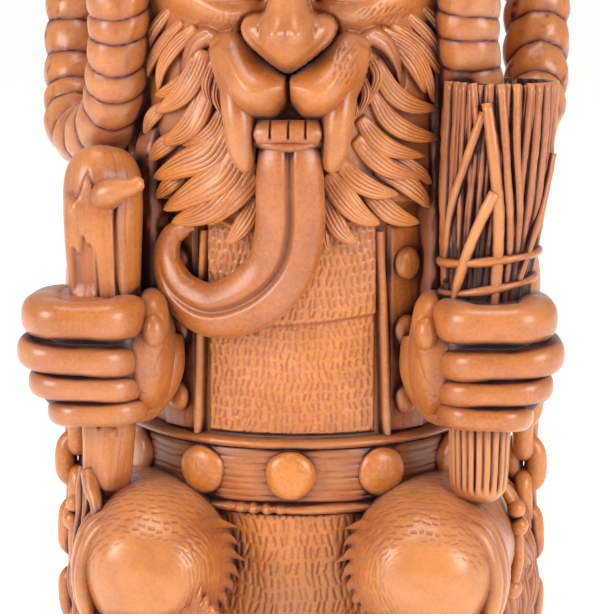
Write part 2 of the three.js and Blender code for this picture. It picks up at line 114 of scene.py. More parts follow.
class Socket:
    """One output of a shader node. Arithmetic on it adds the Math node that works it out."""

    def __init__(self, mix, out):
        self.mix, self.out = mix, out

    def math(self, operation, a, b, clamp=False):
        return self.mix.node("ShaderNodeMath", {"operation": operation, "use_clamp": clamp}, {0: a, 1: b})

    def __add__(self, other):
        return self.math("ADD", self, other)

    def __sub__(self, other):
        return self.math("SUBTRACT", self, other)

    def __rsub__(self, other):
        return self.math("SUBTRACT", other, self)

    def __mul__(self, other):
        return self.math("MULTIPLY", self, other)

    __radd__, __rmul__ = __add__, __mul__

    def held(self):
        """The value kept between 0 and 1."""
        return self.math("ADD", self, 0.0, clamp=True)


class Mix:
    """A glaze recipe: one material and the nodes in it."""

    def __init__(self, name):
        self.material = bpy.data.materials.new(name)
        self.material.use_nodes = True
        self.tree = self.material.node_tree
        self.shader = self.tree.nodes["Principled BSDF"]

    def node(self, kind, settings=None, inputs=None, output=0):
        """Adds a node with its settings and the values or links of its inputs, and gives one of its
        outputs."""
        made = self.tree.nodes.new(kind)
        for key, value in (settings or {}).items():
            setattr(made, key, value)
        self.feed(made, inputs or {})
        return Socket(self, made.outputs[output])

    def feed(self, made, inputs):
        for key, value in inputs.items():
            if isinstance(value, Socket):
                self.tree.links.new(value.out, made.inputs[key])
            else:
                made.inputs[key].default_value = value

    def blend(self, share, a, b):
        """Colour a turned into colour b by a share from 0 to 1."""
        return self.node("ShaderNodeMix", {"data_type": "RGBA"}, {0: share, 6: a, 7: b}, output=2)


def rgb(*channels):
    """A colour given as display values from 0 to 255, in linear light with an alpha of 1."""
    share = np.array(channels) / 255.0
    linear = np.where(share > 0.04045, ((share + 0.055) / 1.055) ** 2.4, share / 12.92)
    return (*linear, 1.0)


def glaze(name, thick, thin, painted_shading=1.0, pale=1.0):
    """Satin brown glaze. Its thick and thin shades drift in clouds with fine specks and pale dusty patches,
    partly a painted sheen. It turns pale on raised edges, partly worn thin and partly a painted highlight,
    and painted shade darkens the hollows. Both are worked out for each point beforehand."""
    mix = Mix(name)
    place = mix.node("ShaderNodeTexCoord", output="Object")
    # painted shade in the hollows and a pale edge colour, partly a painted highlight, are read for each point
    hollow = mix.node("ShaderNodeAttribute", {"attribute_name": "painted_shade"}, output="Fac")
    pale_edge_and_highlight = mix.node("ShaderNodeAttribute", {"attribute_name": "pale_edge_and_highlight"}, output="Fac")
    cloud = mix.node("ShaderNodeTexNoise", {}, {"Vector": place, "Scale": 70.0, "Detail": 3.0})
    drift = {"Vector": place, "Scale": 42.0, "Detail": 4.0, "Distortion": 0.6}
    dusty_sheen = mix.node("ShaderNodeTexNoise", {}, drift)
    speck = mix.node("ShaderNodeTexNoise", {}, {"Vector": place, "Scale": 1500.0, "Detail": 2.0})
    grime = mix.node("ShaderNodeTexNoise", {}, {"Vector": place, "Scale": 240.0, "Detail": 4.0})
    shade = (cloud * 2.6 + speck * 3.0 + grime * 1.2 - 2.9).held()
    colour = mix.blend(shade, thick, thin)
    # pale dusty patches at random, partly a painted sheen
    colour = mix.blend((dusty_sheen * 3.0 - 1.4).held() * 0.42, colour, DUST_AND_SHEEN)
    # pale colour on raised places: partly worn thin, partly a painted highlight
    colour = mix.blend((pale_edge_and_highlight * (0.1 + cloud * 0.6 + grime * 0.5) * pale).held(), colour, EDGE_AND_HIGHLIGHT)
    # painted shade darkens the colour to brown, dark brown and near black as the hollows deepen
    shade_share = (hollow * (0.5 + grime) * painted_shading).held()
    shaded_colour = mix.blend((shade_share * 1.5).held(), colour, SHADE_BROWN)
    shaded_colour = mix.blend((shade_share * 2.0 - 0.7).held(), shaded_colour, SHADE_DARK)
    shaded_colour = mix.blend((shade_share * 3.0 - 2.0).held(), shaded_colour, PITCH)
    fine = mix.node("ShaderNodeTexNoise", {}, {"Vector": place, "Scale": 1100.0, "Detail": 3.0})
    bump = mix.node("ShaderNodeBump", {}, {"Strength": 0.5, "Distance": 0.0002, "Height": fine})
    rough = 0.4 + cloud * 0.12 + speck * 0.08 - shade_share * 0.15
    mix.feed(mix.shader, {
        "Base Color": shaded_colour, "Roughness": rough, "Normal": bump, "Specular IOR Level": 0.2,
        "Coat Weight": (0.85 - shade_share * 0.7).held(), "Coat Roughness": 0.29, "Coat IOR": 1.5,
        "Sheen Weight": 0.12, "Sheen Roughness": 0.35,
    })
    return mix.material


# the first three colours are painted shade for the hollows, near black to brown; the next is a dusty pink,
# partly a painted sheen; the next is the pale edge colour, partly a painted highlight
PITCH = rgb(58, 24, 13)
SHADE_DARK = rgb(104, 52, 34)
SHADE_BROWN = rgb(144, 80, 48)
DUST_AND_SHEEN = rgb(192, 134, 104)
EDGE_AND_HIGHLIGHT = rgb(208, 138, 74)
HONEY = rgb(192, 112, 34)
CARAMEL = rgb(166, 91, 28)
TOFFEE = rgb(142, 74, 25)
CHESTNUT = rgb(146, 82, 34)
wall_glaze = glaze("vessel_glaze", CHESTNUT, TOFFEE, painted_shading=0.35)
skin_glaze = glaze("skin_glaze", TOFFEE, CARAMEL)

fired = []  # every piece, for the painted shade at the end


class Piece:
    """A piece of clay: closed surfaces gathered into one mesh, with how deep each point lies in its own
    hollows."""

    def __init__(self, name, share=1.0):
        self.name, self.share = name, share
        self.points, self.quads, self.hollows, self.weights = [], [], [], []
        self.count = 0

    def add(self, points, quads, hollow=None, weight=1.0):
        """Takes one closed surface, turned so that its faces point outwards."""
        a, b, c, d = (points[quads[:, i]] for i in range(4))
        volume = np.einsum("ij,ij->", np.cross(a, b), c) + np.einsum("ij,ij->", np.cross(a, c), d)
        self.points.append(points)
        self.quads.append((quads if volume > 0 else quads[:, [1, 0, 3, 2]]) + self.count)
        self.hollows.append(np.zeros(len(points)) if hollow is None else hollow)
        self.weights.append(np.broadcast_to(weight * self.share, len(points)))
        self.count += len(points)

    def tube(self, rings, hollow=None):
        """A grid of rings (along, round, xyz), shut at both ends on the middle of its end ring."""
        along, count, _ = rings.shape
        index = np.arange(along * count).reshape(along, count)
        following = np.roll(index, -1, axis=1)
        sides = np.stack([index[:-1], following[:-1], following[1:], index[1:]], -1).reshape(-1, 4)
        start, end = along * count, along * count + 1
        caps = [
            np.stack([np.full(count, start), following[0], index[0], index[0]], -1),
            np.stack([np.full(count, end), index[-1], following[-1], following[-1]], -1),
        ]
        points = np.concatenate([rings.reshape(-1, 3), rings[:1].mean(1), rings[-1:].mean(1)])
        deep = np.zeros((along, count)) if hollow is None else hollow
        deep = np.concatenate([deep.ravel(), [deep[0].mean(), deep[-1].mean()]])
        self.add(points, np.concatenate([sides, *caps]), deep)

    def slab(self, front, back, hollow=None):
        """Two grids of the same shape joined along their edges: a relief and the flat back that is luted
        down."""
        rows, columns, _ = front.shape
        index = np.arange(rows * columns).reshape(rows, columns)
        face = np.stack([index[:-1, :-1], index[:-1, 1:], index[1:, 1:], index[1:, :-1]], -1).reshape(-1, 4)
        edge = np.concatenate([index[0], index[1:, -1], index[-1, -2::-1], index[-2:0:-1, 0]])
        behind = rows * columns
        onward = np.roll(edge, -1)
        rim = np.stack([onward, edge, edge + behind, onward + behind], -1)
        points = np.concatenate([front.reshape(-1, 3), back.reshape(-1, 3)])
        deep = np.zeros(rows * columns) if hollow is None else hollow.ravel()
        weight = np.repeat([1.0, 0.0], behind)
        quads = np.concatenate([face, face[:, ::-1] + behind, rim])
        self.add(points, quads, np.concatenate([deep, deep]), weight)

    def ring(self, section, hollow=None):
        """A closed section carried round the vessel: a grid (round, section, xyz) that joins up both
        ways."""
        index = np.arange(section.shape[0] * section.shape[1]).reshape(section.shape[:2])
        right = np.roll(index, -1, axis=0)
        up = np.roll(index, -1, axis=1)
        both = np.roll(right, -1, axis=1)
        quads = np.stack([index, right, both, up], -1).reshape(-1, 4)
        self.add(section.reshape(-1, 3), quads, None if hollow is None else hollow.ravel())

    def fire(self, material, slot, *nodes):
        """Makes the mesh, joins it to the body it rides on and hides the CAD nodes it stands for."""
        points = np.concatenate(self.points)
        quads = np.concatenate(self.quads)
        mesh = bpy.data.meshes.new(self.name)
        thin = quads[:, 2] == quads[:, 3]
        faces = quads[~thin].tolist() + quads[thin][:, :3].tolist()
        mesh.from_pydata((points * MM).tolist(), [], faces)
        mesh.polygons.foreach_set("use_smooth", np.ones(len(mesh.polygons), bool))
        mesh.materials.append(material)
        made = bpy.data.objects.new(self.name, mesh)
        bpy.context.scene.collection.objects.link(made)
        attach(made, "root")
        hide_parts(*nodes)
        fired.append((made, points, quads, np.concatenate(self.hollows), np.concatenate(self.weights)))


def smooth(low, high, value):
    """0 below low, 1 above high, and a smooth step between."""
    t = np.clip((value - low) / (high - low), 0.0, 1.0)
    return t * t * (3.0 - 2.0 * t)


def turned(angle, radius, height):
    """Points at an angle round the vessel from the face, at a radius and a height."""
    return np.stack(np.broadcast_arrays(radius * np.sin(angle), -radius * np.cos(angle), height), -1)


def profile_along(corners, step):
    """Points every step along straight lines between corners, which are (radius, height) pairs."""
    corners = np.array(corners, float)
    lengths = np.r_[0.0, np.cumsum(np.hypot(*np.diff(corners, axis=0).T))]
    at = np.linspace(0.0, lengths[-1], int(lengths[-1] / step) + 1)
    return np.interp(at, lengths, corners[:, 0]), np.interp(at, lengths, corners[:, 1])


def waves(angle, height, seed, count=5, fine=1.0):
    """A gentle unevenness between about -1 and 1: sines of random direction added up."""
    draw = np.random.default_rng(seed)
    total = 0.0
    for _ in range(count):
        turns, climb, start = draw.integers(1, 7), draw.uniform(0.05, 0.25), draw.uniform(0, 6.3)
        total = total + np.sin(turns * fine * angle + climb * fine * height + start)
    return total / count


inner = WALL - CLAY
radius, height = profile_along(
    [
        (0.01, 6.0), (inner - 4.5, 6.0), (inner - 1.2, 7.4), (inner, 10.5), (inner, LIP - 8),
        (inner + 1.4, LIP - 2), (inner + 2.0, LIP - 0.5), (WALL - 1.0, LIP), (WALL + FLARE - 0.5, LIP - 0.6),
        (WALL + FLARE, LIP - 2.4), (WALL, LIP - 8), (WALL, 3.0), (WALL - 0.8, 0.8), (WALL - 2.0, 0.0),
        (0.01, 0.0),
    ],
    1.5,
)
turn = np.linspace(0, 2 * np.pi, 181)[:-1]
wobble = 0.12 * waves(turn[:, None], height[None], 3)
outside = smooth(WALL - 1, WALL, radius)
vessel = Piece("vessel")
vessel.tube(turned(turn[None], (radius + wobble * outside).T, height[:, None]))
vessel.fire(wall_glaze, "vessel", "mug_body")


# ---- belt ----
# A strip of rolled clay with drawn lines, laid round the vessel between two round coils. The domes are
# pressed in a small mould and stuck on every 30 degrees, but not where the haunches cover the belt.
def streaks(along, across, seed, pitch):
    """Drawn lines: sines across them whose places wander slowly along them. 1 in a line and 0 between."""
    draw = np.random.default_rng(seed)
    wander = sum(np.sin(along * f + draw.uniform(0, 6.3)) for f in (0.11, 0.23, 0.41)) * 0.5
    depth = 0.5 + 0.5 * np.sin(along * 0.35 + across * 1.9 + draw.uniform(0, 6.3))
    return np.clip(np.sin(across * 2 * np.pi / pitch + wander), 0, 1) ** 3 * (0.35 + 0.65 * depth)


band_low, band_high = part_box("belt_band")
SEAT = WALL + 0.25  # radius that pieces on the wall are pressed down to
belt_low, belt_high = band_low.z / MM - 0.8, band_high.z / MM
belt_out = band_high.x / MM
radius, height = profile_along(
    [
        (SEAT, belt_low), (belt_out - 0.3, belt_low), (belt_out, belt_low + 0.5),
        (belt_out + 0.2, (belt_low + belt_high) / 2), (belt_out, belt_high - 0.5),
        (belt_out - 0.3, belt_high), (SEAT, belt_high), (SEAT, belt_low + 0.2),
    ],
    0.3,
)
turn = np.linspace(0, 2 * np.pi, 481)[:-1]
lines = streaks(turn[:, None] * WALL, height[None], 5, 1.35) * smooth(SEAT + 1.1, SEAT + 1.5, radius)
band = Piece("belt_band_clay")
push = 0.15 * waves(turn[:, None], height[None], 8, fine=3.0) * smooth(SEAT, SEAT + 1, radius) - 0.22 * lines
# painted shade in the drawn lines
band.ring(turned(turn[:, None], radius[None] + push, height[None]), 0.75 * lines)
cloth_glaze = glaze("cloth_glaze", CHESTNUT, CARAMEL)
band.fire(cloth_glaze, "cloth", "belt_band")


def coil(name, node, lumps, drop=0.0, flaw=0.0):
    """A round coil laid in a ring: a D-shaped section, thicker and thinner by waves and finger dents."""
    low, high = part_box(node)
    middle, half = (low.z + high.z) / 2 / MM + drop, (high.z - low.z) / 2 / MM + 0.35
    bulge = high.x / MM - SEAT
    a = turn[:, None]
    v = np.linspace(0, 2 * np.pi, 19)[None, :-1]
    thick = 1.0 + 0.06 * waves(a, 0.0, lumps, fine=4.0) + 0.03 * waves(a, 1.0, lumps + 1, fine=17.0)
    thick = thick + flaw * np.sin(a * 83) * np.exp(-(((a - 6.12) / 0.13) ** 2))
    rise = np.clip(np.sin(v), -0.02, 1) * bulge * thick
    made = Piece(name)
    made.ring(turned(a, SEAT + rise, middle + half * np.cos(v) * thick**0.5))
    made.fire(cloth_glaze, "cloth", node)


coil("belt_upper_coil", "belt_upper_edge", 21)
coil("belt_lower_coil", "belt_lower_edge", 35, drop=-0.9, flaw=0.28)

metal_glaze = glaze("stud_glaze", CARAMEL, HONEY, pale=0.5)


def stud(node, seed):
    """A pressed dome: rings that shrink towards the top by a superellipse, dented and scratched a little."""
    low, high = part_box(node)
    middle = (low + high) / 2 / MM
    angle = math.atan2(middle.x, -middle.y)
    half = (high.z - low.z) / 2 / MM
    on_belt = half > 4
    rise, seat = (2.5, WALL + 1.9) if on_belt else (2.1, WALL + 1.2)
    beside_fist = 0.6 < abs(math.sin(angle)) < 0.9 and middle.y < 0
    tall, wide = 1.08, 1.0 if beside_fist else 1.08
    t = np.linspace(0, np.pi / 2 * 0.97, 14)[:, None]
    v = np.linspace(0, 2 * np.pi, 41)[None, :-1]
    reach = half * np.cos(t) ** 0.62
    lift = rise * np.sin(t) ** 0.9
    dent = 1.0 + 0.015 * np.sin(3 * v + seed) + 0.012 * np.sin(5 * v + 2 * seed)
    across, up = wide * reach * dent * np.cos(v), tall * reach * dent * np.sin(v)
    out = seat + lift + 0.05 * np.sin(across * 5 + seed) * smooth(half, 0.2, np.abs(up))
    made = Piece(node + "_clay")
    made.tube(np.concatenate([
        turned(angle + across[:1] / seat, seat - 0.7, middle.z + up[:1]),
        turned(angle + across / out, out, middle.z + up),
    ]))
    made.fire(metal_glaze, "iron", node)


for node in sorted(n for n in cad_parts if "stud" in n):
    stud(node, len(fired))


# ---- tunic, pipings and straps ----
# The cloth of the dress is thin slabs of clay marked with a small wooden tool before they are laid on. A
# rolled piping closes each side of the tunic, and a plain strap with a row of domes lies beside it.
def chance(a, b, seed):
    """A fixed number from 0 to 1 for each pair of whole numbers: the fraction of a large sine."""
    return np.modf(np.abs(np.sin(a * 12.9898 + b * 78.233 + seed * 3.7) * 43758.5453))[0]


def dashes(x, z, pitch, row, seed, lean=0.5, length=0.36, thin=0.23):
    """Short tool marks in rows. Each stands at its own drawn place and slant; 1 in a mark and 0 off it."""
    z = z + 0.35 * np.sin(x * 0.19 + seed) + 0.2 * np.sin(x * 0.53 + 2 * seed)
    line = np.floor(z / row)
    shift = chance(line, 0, seed)
    cut = 0.0
    for beside in (-1, 0, 1):
        k = np.floor(x / pitch + shift) + beside
        middle = (k + 0.5 + 0.45 * (chance(k, line, seed) - 0.5) - shift) * pitch
        up = z - (line + 0.5 + 0.25 * (chance(k, line, seed + 1) - 0.5)) * row
        slant = lean * (chance(line, k, seed + 2) - 0.5 + 0.35 * np.sin(line * 1.7 + x * 0.08))
        side = x - middle - slant * up
        half = length * row * (0.75 + 0.5 * chance(line, k, seed + 4))
        depth = 0.65 + 0.35 * chance(k, line, seed + 3)
        mark = depth * np.exp(-((side / thin) ** 2)) * smooth(half + 0.25, half - 0.1, np.abs(up))
        cut = np.maximum(cut, mark)
    return cut


def on_wall(x, z, out, behind=False):
    """Points on the wall above places x and z in the front view, or in the back view, raised by out."""
    angle = np.arcsin(x / (WALL + 1.0)) + (np.pi if behind else 0.0)
    return turned(angle, WALL + out, z)


def cloth(node, pitch, row, seed, fold=None, behind=False):
    """A thin slab over a node's own width and height, dashed all over, with its rim rolled down to the
    wall."""
    low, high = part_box(node)
    half = (high.x - low.x) / 2 / MM
    step = 0.28 if behind else 0.235
    x = np.linspace(-half, half, int(2 * half / step))[None]
    z = np.linspace(low.z / MM, high.z / MM, int((high.z - low.z) / MM / step / 1.15))[:, None]
    x, z = np.broadcast_arrays(x, z)
    cut = dashes(x, z, pitch, row, seed)
    rim = smooth(0.0, 0.8, np.minimum(half - np.abs(x), np.minimum(z - z.min(), z.max() - z)))
    out = 0.35 + rim * (1.2 + 0.16 * waves(x / 9, z, seed, fine=1.5))
    crease = np.zeros_like(x)
    if fold is not None:
        edge = fold + 0.05 * x + 0.9 * smooth(0, 18, x)
        out = out + 0.55 * smooth(edge - 0.25, edge + 0.25, z) * smooth(30, 12, z - edge)
        crease = np.exp(-(((z - edge + 0.35) / 0.4) ** 2)) * 0.8
    out = out - 0.3 * cut * rim
    made = Piece(node + "_clay")
    # painted shade in the tool marks and the fold's crease
    made.slab(on_wall(x, z, out, behind), on_wall(x, z, 0.25, behind), np.maximum(0.5 * cut, 0.7 * crease))
    made.fire(tunic_glaze, "cloth", node)


tunic_glaze = glaze("tunic_glaze", CARAMEL, HONEY)
cloth("tunic_front", 1.25, 2.15, 1, fold=95.5)
cloth("tunic_skirt", 1.45, 2.9, 2)
cloth("tunic_back", 1.35, 2.4, 3, behind=True)

for side, name in ((-1, "left"), (1, "right")):
    low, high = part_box(f"{name}_strap")
    x = np.linspace(low.x / MM, high.x / MM, 40)[None]
    z = np.linspace(low.z / MM, high.z / MM, 140)[:, None]
    x, z = np.broadcast_arrays(x, z)
    rim = smooth(0.0, 0.9, np.minimum(np.minimum(x - x.min(), x.max() - x), z.max() - z))
    drawn = streaks(z, x, 31 + side, 1.6) * rim
    strap = Piece(f"{name}_strap_clay")
    # painted shade in the drawn lines
    strap.slab(on_wall(x, z, 0.35 + 0.85 * rim - 0.06 * drawn), on_wall(x, z, 0.25), 0.15 * drawn)
    strap.fire(tunic_glaze, "cloth", f"{name}_strap")

    low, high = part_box(f"{name}_piping")
    z = np.linspace(low.z / MM - 0.6, high.z / MM, 160)[:, None]
    v = np.linspace(0, 2 * np.pi, 19)[None, :-1]
    middle = (low.x + high.x) / 2 / MM + side * (0.2 * np.sin(z * 0.09) + 0.8 - 0.035 * (z - 72))
    piping = Piece(f"{name}_piping_clay")
    piping.tube(on_wall(middle + 0.95 * np.cos(v), z, 0.4 + 2.0 * np.clip(np.sin(v), -0.05, 1)))
    piping.fire(tunic_glaze, "cloth", f"{name}_piping")


# ---- face ----
# The face is one press-moulded relief luted on the vessel. Its shapes are drawn as outlines in the front
# view and puffed up like cushions; lines and pores are cut in with a tool when the clay is leather-hard.
def through(stations, count, closed=False):
    """A smooth curve through stations: Catmull-Rom weights on each four of them, for every column alike."""
    stations = np.array(stations, float)
    last = len(stations) - (0 if closed else 1)
    at = np.linspace(0, last, count, endpoint=not closed)
    k = np.minimum(at.astype(int), last - 1)
    t = (at - k)[:, None]
    if closed:
        p = [stations[(k + j) % len(stations)] for j in (-1, 0, 1, 2)]
    else:
        before, after = 2 * stations[:1] - stations[1:2], 2 * stations[-1:] - stations[-2:-1]
        longer = np.concatenate([before, stations, after])
        p = [longer[k + j] for j in (0, 1, 2, 3)]
    square = 2 * p[0] - 5 * p[1] + 4 * p[2] - p[3]
    cube = 3 * p[1] - p[0] - 3 * p[2] + p[3]
    return 0.5 * (2 * p[1] + (p[2] - p[0]) * t + square * t**2 + cube * t**3)


def inside(x, z, stations, closed=True, side=1, count=60):
    """How far each place lies inside a smooth outline, minus outside; or how far from an open line, always
    minus."""
    curve = through(np.array(stations, float) * (side, 1), count, closed)
    following = np.roll(curve, -1, axis=0)
    nearest = np.full(x.shape, 1e9)
    odd = np.zeros(x.shape, bool)
    for (ax, az), (bx, bz) in list(zip(curve, following))[: None if closed else -1]:
        ex, ez = bx - ax, bz - az
        t = np.clip(((x - ax) * ex + (z - az) * ez) / (ex * ex + ez * ez + 1e-9), 0, 1)
        nearest = np.minimum(nearest, np.hypot(x - ax - t * ex, z - az - t * ez))
        if closed:
            crossing = ax + (z - az) * ex / (ez if abs(ez) > 1e-9 else 1e-9)
            odd ^= ((az > z) != (bz > z)) & (x < crossing)
    return np.where(odd, nearest, -nearest)


def cushion(depth, edge):
    """A quarter circle that rises from 0 at an outline to 1 at a depth inside it."""
    return np.sqrt(1 - (1 - np.clip(depth / edge, 0, 1)) ** 2)


def spot(x, z, cx, cz, rx, rz):
    """A soft round hill of height 1: the exponential of minus the squared distance in its own radii."""
    return np.exp(-(((x - cx) / rx) ** 2) - ((z - cz) / rz) ** 2)


def merged(a, b, blend):
    """The larger of two heights with a fillet of about the given size where they meet."""
    return (a + b + np.sqrt((a - b) ** 2 + blend**2) - blend * 0.5) / 2


def standing(x, z, out):
    """Points at x and z in the front view, out from the wall but straight ahead of their own x."""
    return np.stack(np.broadcast_arrays(x, -np.sqrt((WALL + out) ** 2 - x**2), z), -1)


NOSE = [
    (3.5, 184), (3.5, 170), (3.8, 160.4), (4.8, 158.0), (6.8, 157.6), (8.6, 156.8), (9.3, 154.9),
    (8.3, 152.4), (4.8, 149.2), (1.0, 146.5),
]
NOSE = NOSE + [(-a, b) for a, b in NOSE[::-1]]
LOBE = [
    (0.35, 145.6), (0.4, 142.0), (0.8, 139.6), (2.4, 137.8), (4.8, 137.0), (8.0, 137.0), (10.8, 138.2),
    (13.2, 141.2), (15.0, 145.6), (16.0, 150.2), (15.3, 152.8), (12.6, 154.2), (10.2, 154.0), (7.6, 151.6),
    (4.2, 148.4), (1.4, 146.4),
]
MUZZLE = LOBE[2:-1] + [(-a, b) for a, b in LOBE[-2:1:-1]]
FOLD = [
    (13.5, 153.6), (16.5, 155.2), (19.4, 153.8), (21.4, 150.6), (22.0, 147.0), (21.6, 143.2), (20.6, 146.4),
    (18.6, 149.4), (16.6, 151.0), (15.0, 151.6),
]
EYE = [
    (7.2, 162.6), (10.5, 165.6), (15.5, 167.0), (20.5, 166.0), (23.5, 163.8), (19.5, 162.4), (14.0, 161.6),
    (9.6, 161.6),
]
CHIN = [(29, 184), (29, 160), (28.5, 154), (26, 144), (20, 134), (15, 124), (10, 119)]
JAW = CHIN + [(-a, b) for a, b in CHIN[::-1]]

plate_low, plate_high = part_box("face_plate")
x = np.linspace(-30, 30, 215)[None]
z = np.linspace(plate_low.z / MM, plate_high.z / MM + 0.2, 208)[:, None]
x, z = np.broadcast_arrays(x, z)
far = np.abs(x)
slope = smooth(-1.5, 4.0, inside(x, z, JAW))
out = 0.4 + slope * (4.6 - 1.2 * smooth(14, 28, far)) + 0.25 * waves(x / 7, z, 4, fine=1.2)
cuts = np.zeros_like(x)


def cut_in(shape, depth, dark=1.0):
    """Cuts a shape, 1 where it is deepest, into the face, and paints shade into it as dark as dark says."""
    global out, cuts
    out = out - depth * shape
    cuts = np.maximum(cuts, dark * shape)


def line_over(stations, side=1):
    """How far each place of the face is from an open line."""
    return inside(x, z, stations, False, side)


def scratch(stations, side, half, depth, dark):
    """Cuts a line of the given half width: the exponential of minus the squared distance in half widths."""
    cut_in(np.exp(-((line_over(stations, side) / half) ** 2)), depth, dark)


# brow, eye and cheek, the same on both sides
for side in (-1, 1):
    cheek = line_over([(26, 163.5), (20, 160.6), (13, 157.6), (8.5, 157.4)], side)
    out = merged(out, 4.2 + 3.9 * np.exp(-((cheek / 3.6) ** 2)), 1.0)
    lid = line_over([(25, 163.4), (19.5, 161.6), (14, 160.6), (9.4, 160.6), (6.4, 162.2)], side)
    out = merged(out, 4.0 + 3.2 * np.exp(-((lid / 1.1) ** 2)), 0.5)
    eye = inside(x, z, EYE, side=side)
    out = np.where(eye > -0.6, out * (1 - 0.45 * smooth(-0.6, 0.4, eye)), out)
    ball = np.sqrt(np.clip(1 - ((x - side * 15.2) / 6.6) ** 2 - ((z - 164.2) / 4.6) ** 2, 0, 1))
    out = np.maximum(out, 2.4 + 3.8 * ball * (eye > -0.3))
    cut_in(np.exp(-((eye / 0.35) ** 2)), 0.5)
    pupil = np.hypot(x - side * 14.6, z - 164.3)
    cut_in(np.exp(-(((pupil - 2.1) / 0.25) ** 2)) * (eye > 0.3), 0.3, 0.8)
    cut_in(smooth(1.1, 0.6, pupil), 0.7)
    brow = line_over([(4.2, 165.5), (8, 169.6), (15, 171.6), (22, 170.4), (27.5, 165.5)], side)
    out = merged(out, 3.5 + 7.0 * np.exp(-((brow / 3.0) ** 2)) * (1 - 0.25 * smooth(14, 28, far)), 1.0)
    hairs = np.sin((x * side - z * 0.55) * 2.6 + 0.8 * np.sin(z * 0.9)) ** 8
    cut_in(hairs * smooth(3.4, 1.6, -brow), 0.45, 0.6)
    scratch([(4.4, 176.5), (9, 178.6), (16, 179.2), (24, 178.2)], side, 0.5, 0.7, 0.7)
    scratch([(5.6, 160.6), (4.6, 164), (5.4, 168.2)], side, 0.6, 1.6, 0.8)
    fold = inside(x, z, FOLD, side=side)
    fold_root = smooth(2, 5, -line_over([(12, 156), (14, 158)], side))
    cut_in(smooth(1.3, 0.2, -fold) * (fold < 0) * fold_root, 0.6, 0.5)
    out = np.maximum(out, (4.6 + 2.2 * cushion(fold, 1.5) - 0.4 * smooth(21, 22, far)) * (fold > 0))
    scratch([(16.5, 153.9), (19.2, 152.2), (20.7, 149.2), (21.3, 146)], side, 0.28, 0.3, 0.5)

# nose, muzzle and the dark groove between them
muzzle = inside(x, z, MUZZLE, count=120)
for side in (-1, 1):
    lobe = inside(x, z, LOBE, side=side)
    crown = 0.42 + 0.58 * spot(x, z, side * 6.2, 143.4, 9.0, 8.0)
    valley = 0.9 * np.exp(-((x / 1.3) ** 2)) * smooth(147, 140, z)
    puffed = 5.8 + 9.6 * cushion(muzzle, 6.4) * crown + 0.9 * cushion(lobe, 0.7) - valley
    cut_in(np.exp(-(((lobe + 0.3) / 0.35) ** 2)) * smooth(11, 6, far), 0.9, 0.6)
    out = np.where(lobe > 0, np.maximum(out, puffed), out)
    pores = dashes(x - side * 0.45 * z, z, 1.15, 1.5, 40 + side, lean=0.9, length=0.32, thin=0.2)
    pored = spot(x, z, 11.6, 148.2, 3.2, 4.4) if side > 0 else 0.5 * spot(x, z, -12.0, 150.6, 2.4, 2.6)
    cut_in(pores * smooth(0.25, 0.6, pored) * smooth(0.6, 1.2, lobe), 0.32, 0.75)
cut_in(np.exp(-((x / 0.3) ** 2)) * smooth(138, 139.5, z) * smooth(147, 146, z), 0.8, 0.8)
cut_in(smooth(1.3, 0.1, far - (139.4 - z) * 0.5) * smooth(136.6, 137.2, z) * smooth(140, 138.6, z), 2.5, 0.7)

nose = inside(x, z, NOSE, count=120)
cut_in(np.exp(-(((nose + 0.35) / 0.32) ** 2)) * smooth(159, 157, z), 1.3, 0.6)
RIDGE = [  # how far the nose stands out at each height, along its middle and at its wings
    (146.4, 12.4), (149, 15.6), (152, 18.4), (154.5, 19.4), (158, 17.0), (162, 14.6), (168, 12.6),
    (175, 10.2), (182, 8.0),
]
WING = [(146.4, 12.0), (149, 13.4), (152, 14.0), (156, 13.6), (159, 11.6), (162, 9.6), (182, 5.4)]
ridge, wing = (
    sum(np.interp(z + d, *zip(*heights)) for d in (-1.4, -0.9, -0.4, 0.0, 0.4, 0.9, 1.4)) / 7
    for heights in (RIDGE, WING)
)
risen = wing + (ridge - wing) * np.exp(-((x / 4.9) ** 4))
body = risen * (0.62 + 0.38 * cushion(nose, 2.4))
body = body + 0.9 * spot(x, z, 2.7, 154.0, 1.8, 2.0) + 0.9 * spot(x, z, -2.7, 154.0, 1.8, 2.0)
body = body - 0.5 * spot(x, z, 0, 155, 0.9, 3.4)
beside_tip = smooth(3.2, 5.0, far) * smooth(159, 157, z)
lower = smooth(158.5, 153.5, z)
body = body - 1.5 * beside_tip * spot(far, z, 4.8, 155.4, 0.8, 2.6)
body = body + 0.45 * lower * np.exp(-(((nose - 0.45) / 0.3) ** 2))
body = body - 0.55 * lower * np.exp(-(((nose - 1.35) / 0.5) ** 2)) * smooth(1.0, 3.0, far)
# a thin line of painted shade in the groove round the nose's lower edge
rim_line = 0.35 * lower * np.exp(-(((nose - 1.35) / 0.4) ** 2)) * smooth(1.0, 3.0, far)
out = np.where(nose > 0, np.maximum(out, body), out)
cuts = np.where(nose > 0, rim_line, cuts)

# frown lines over the bridge, whiskers under the right eye, and the mouth hollowed out behind the tongue
for level in (171.5, 174.0, 176.5):
    scratch([(-3.6, level), (0, level + 0.8), (3.6, level)], 1, 0.32, 0.6, 0.8)
whisker = dashes(x - 0.7 * z, z, 1.25, 1.9, 51, lean=1.0, length=0.34, thin=0.22)
cut_in(whisker * smooth(0.3, 0.7, spot(x, z, 18.5, 157.8, 6.5, 2.2)), 0.35, 0.8)
cut_in(whisker * 0.6 * smooth(0.3, 0.7, spot(x, z, -13.0, 156.6, 4.5, 1.5)), 0.3, 0.7)
mouth = smooth(8.2, 7.0, far) * smooth(137.4, 136.6, z) * smooth(125, 128, z)
out = out * (1 - 0.55 * mouth)
# painted shade fills the mouth's hollow
cuts = np.maximum(cuts, mouth)

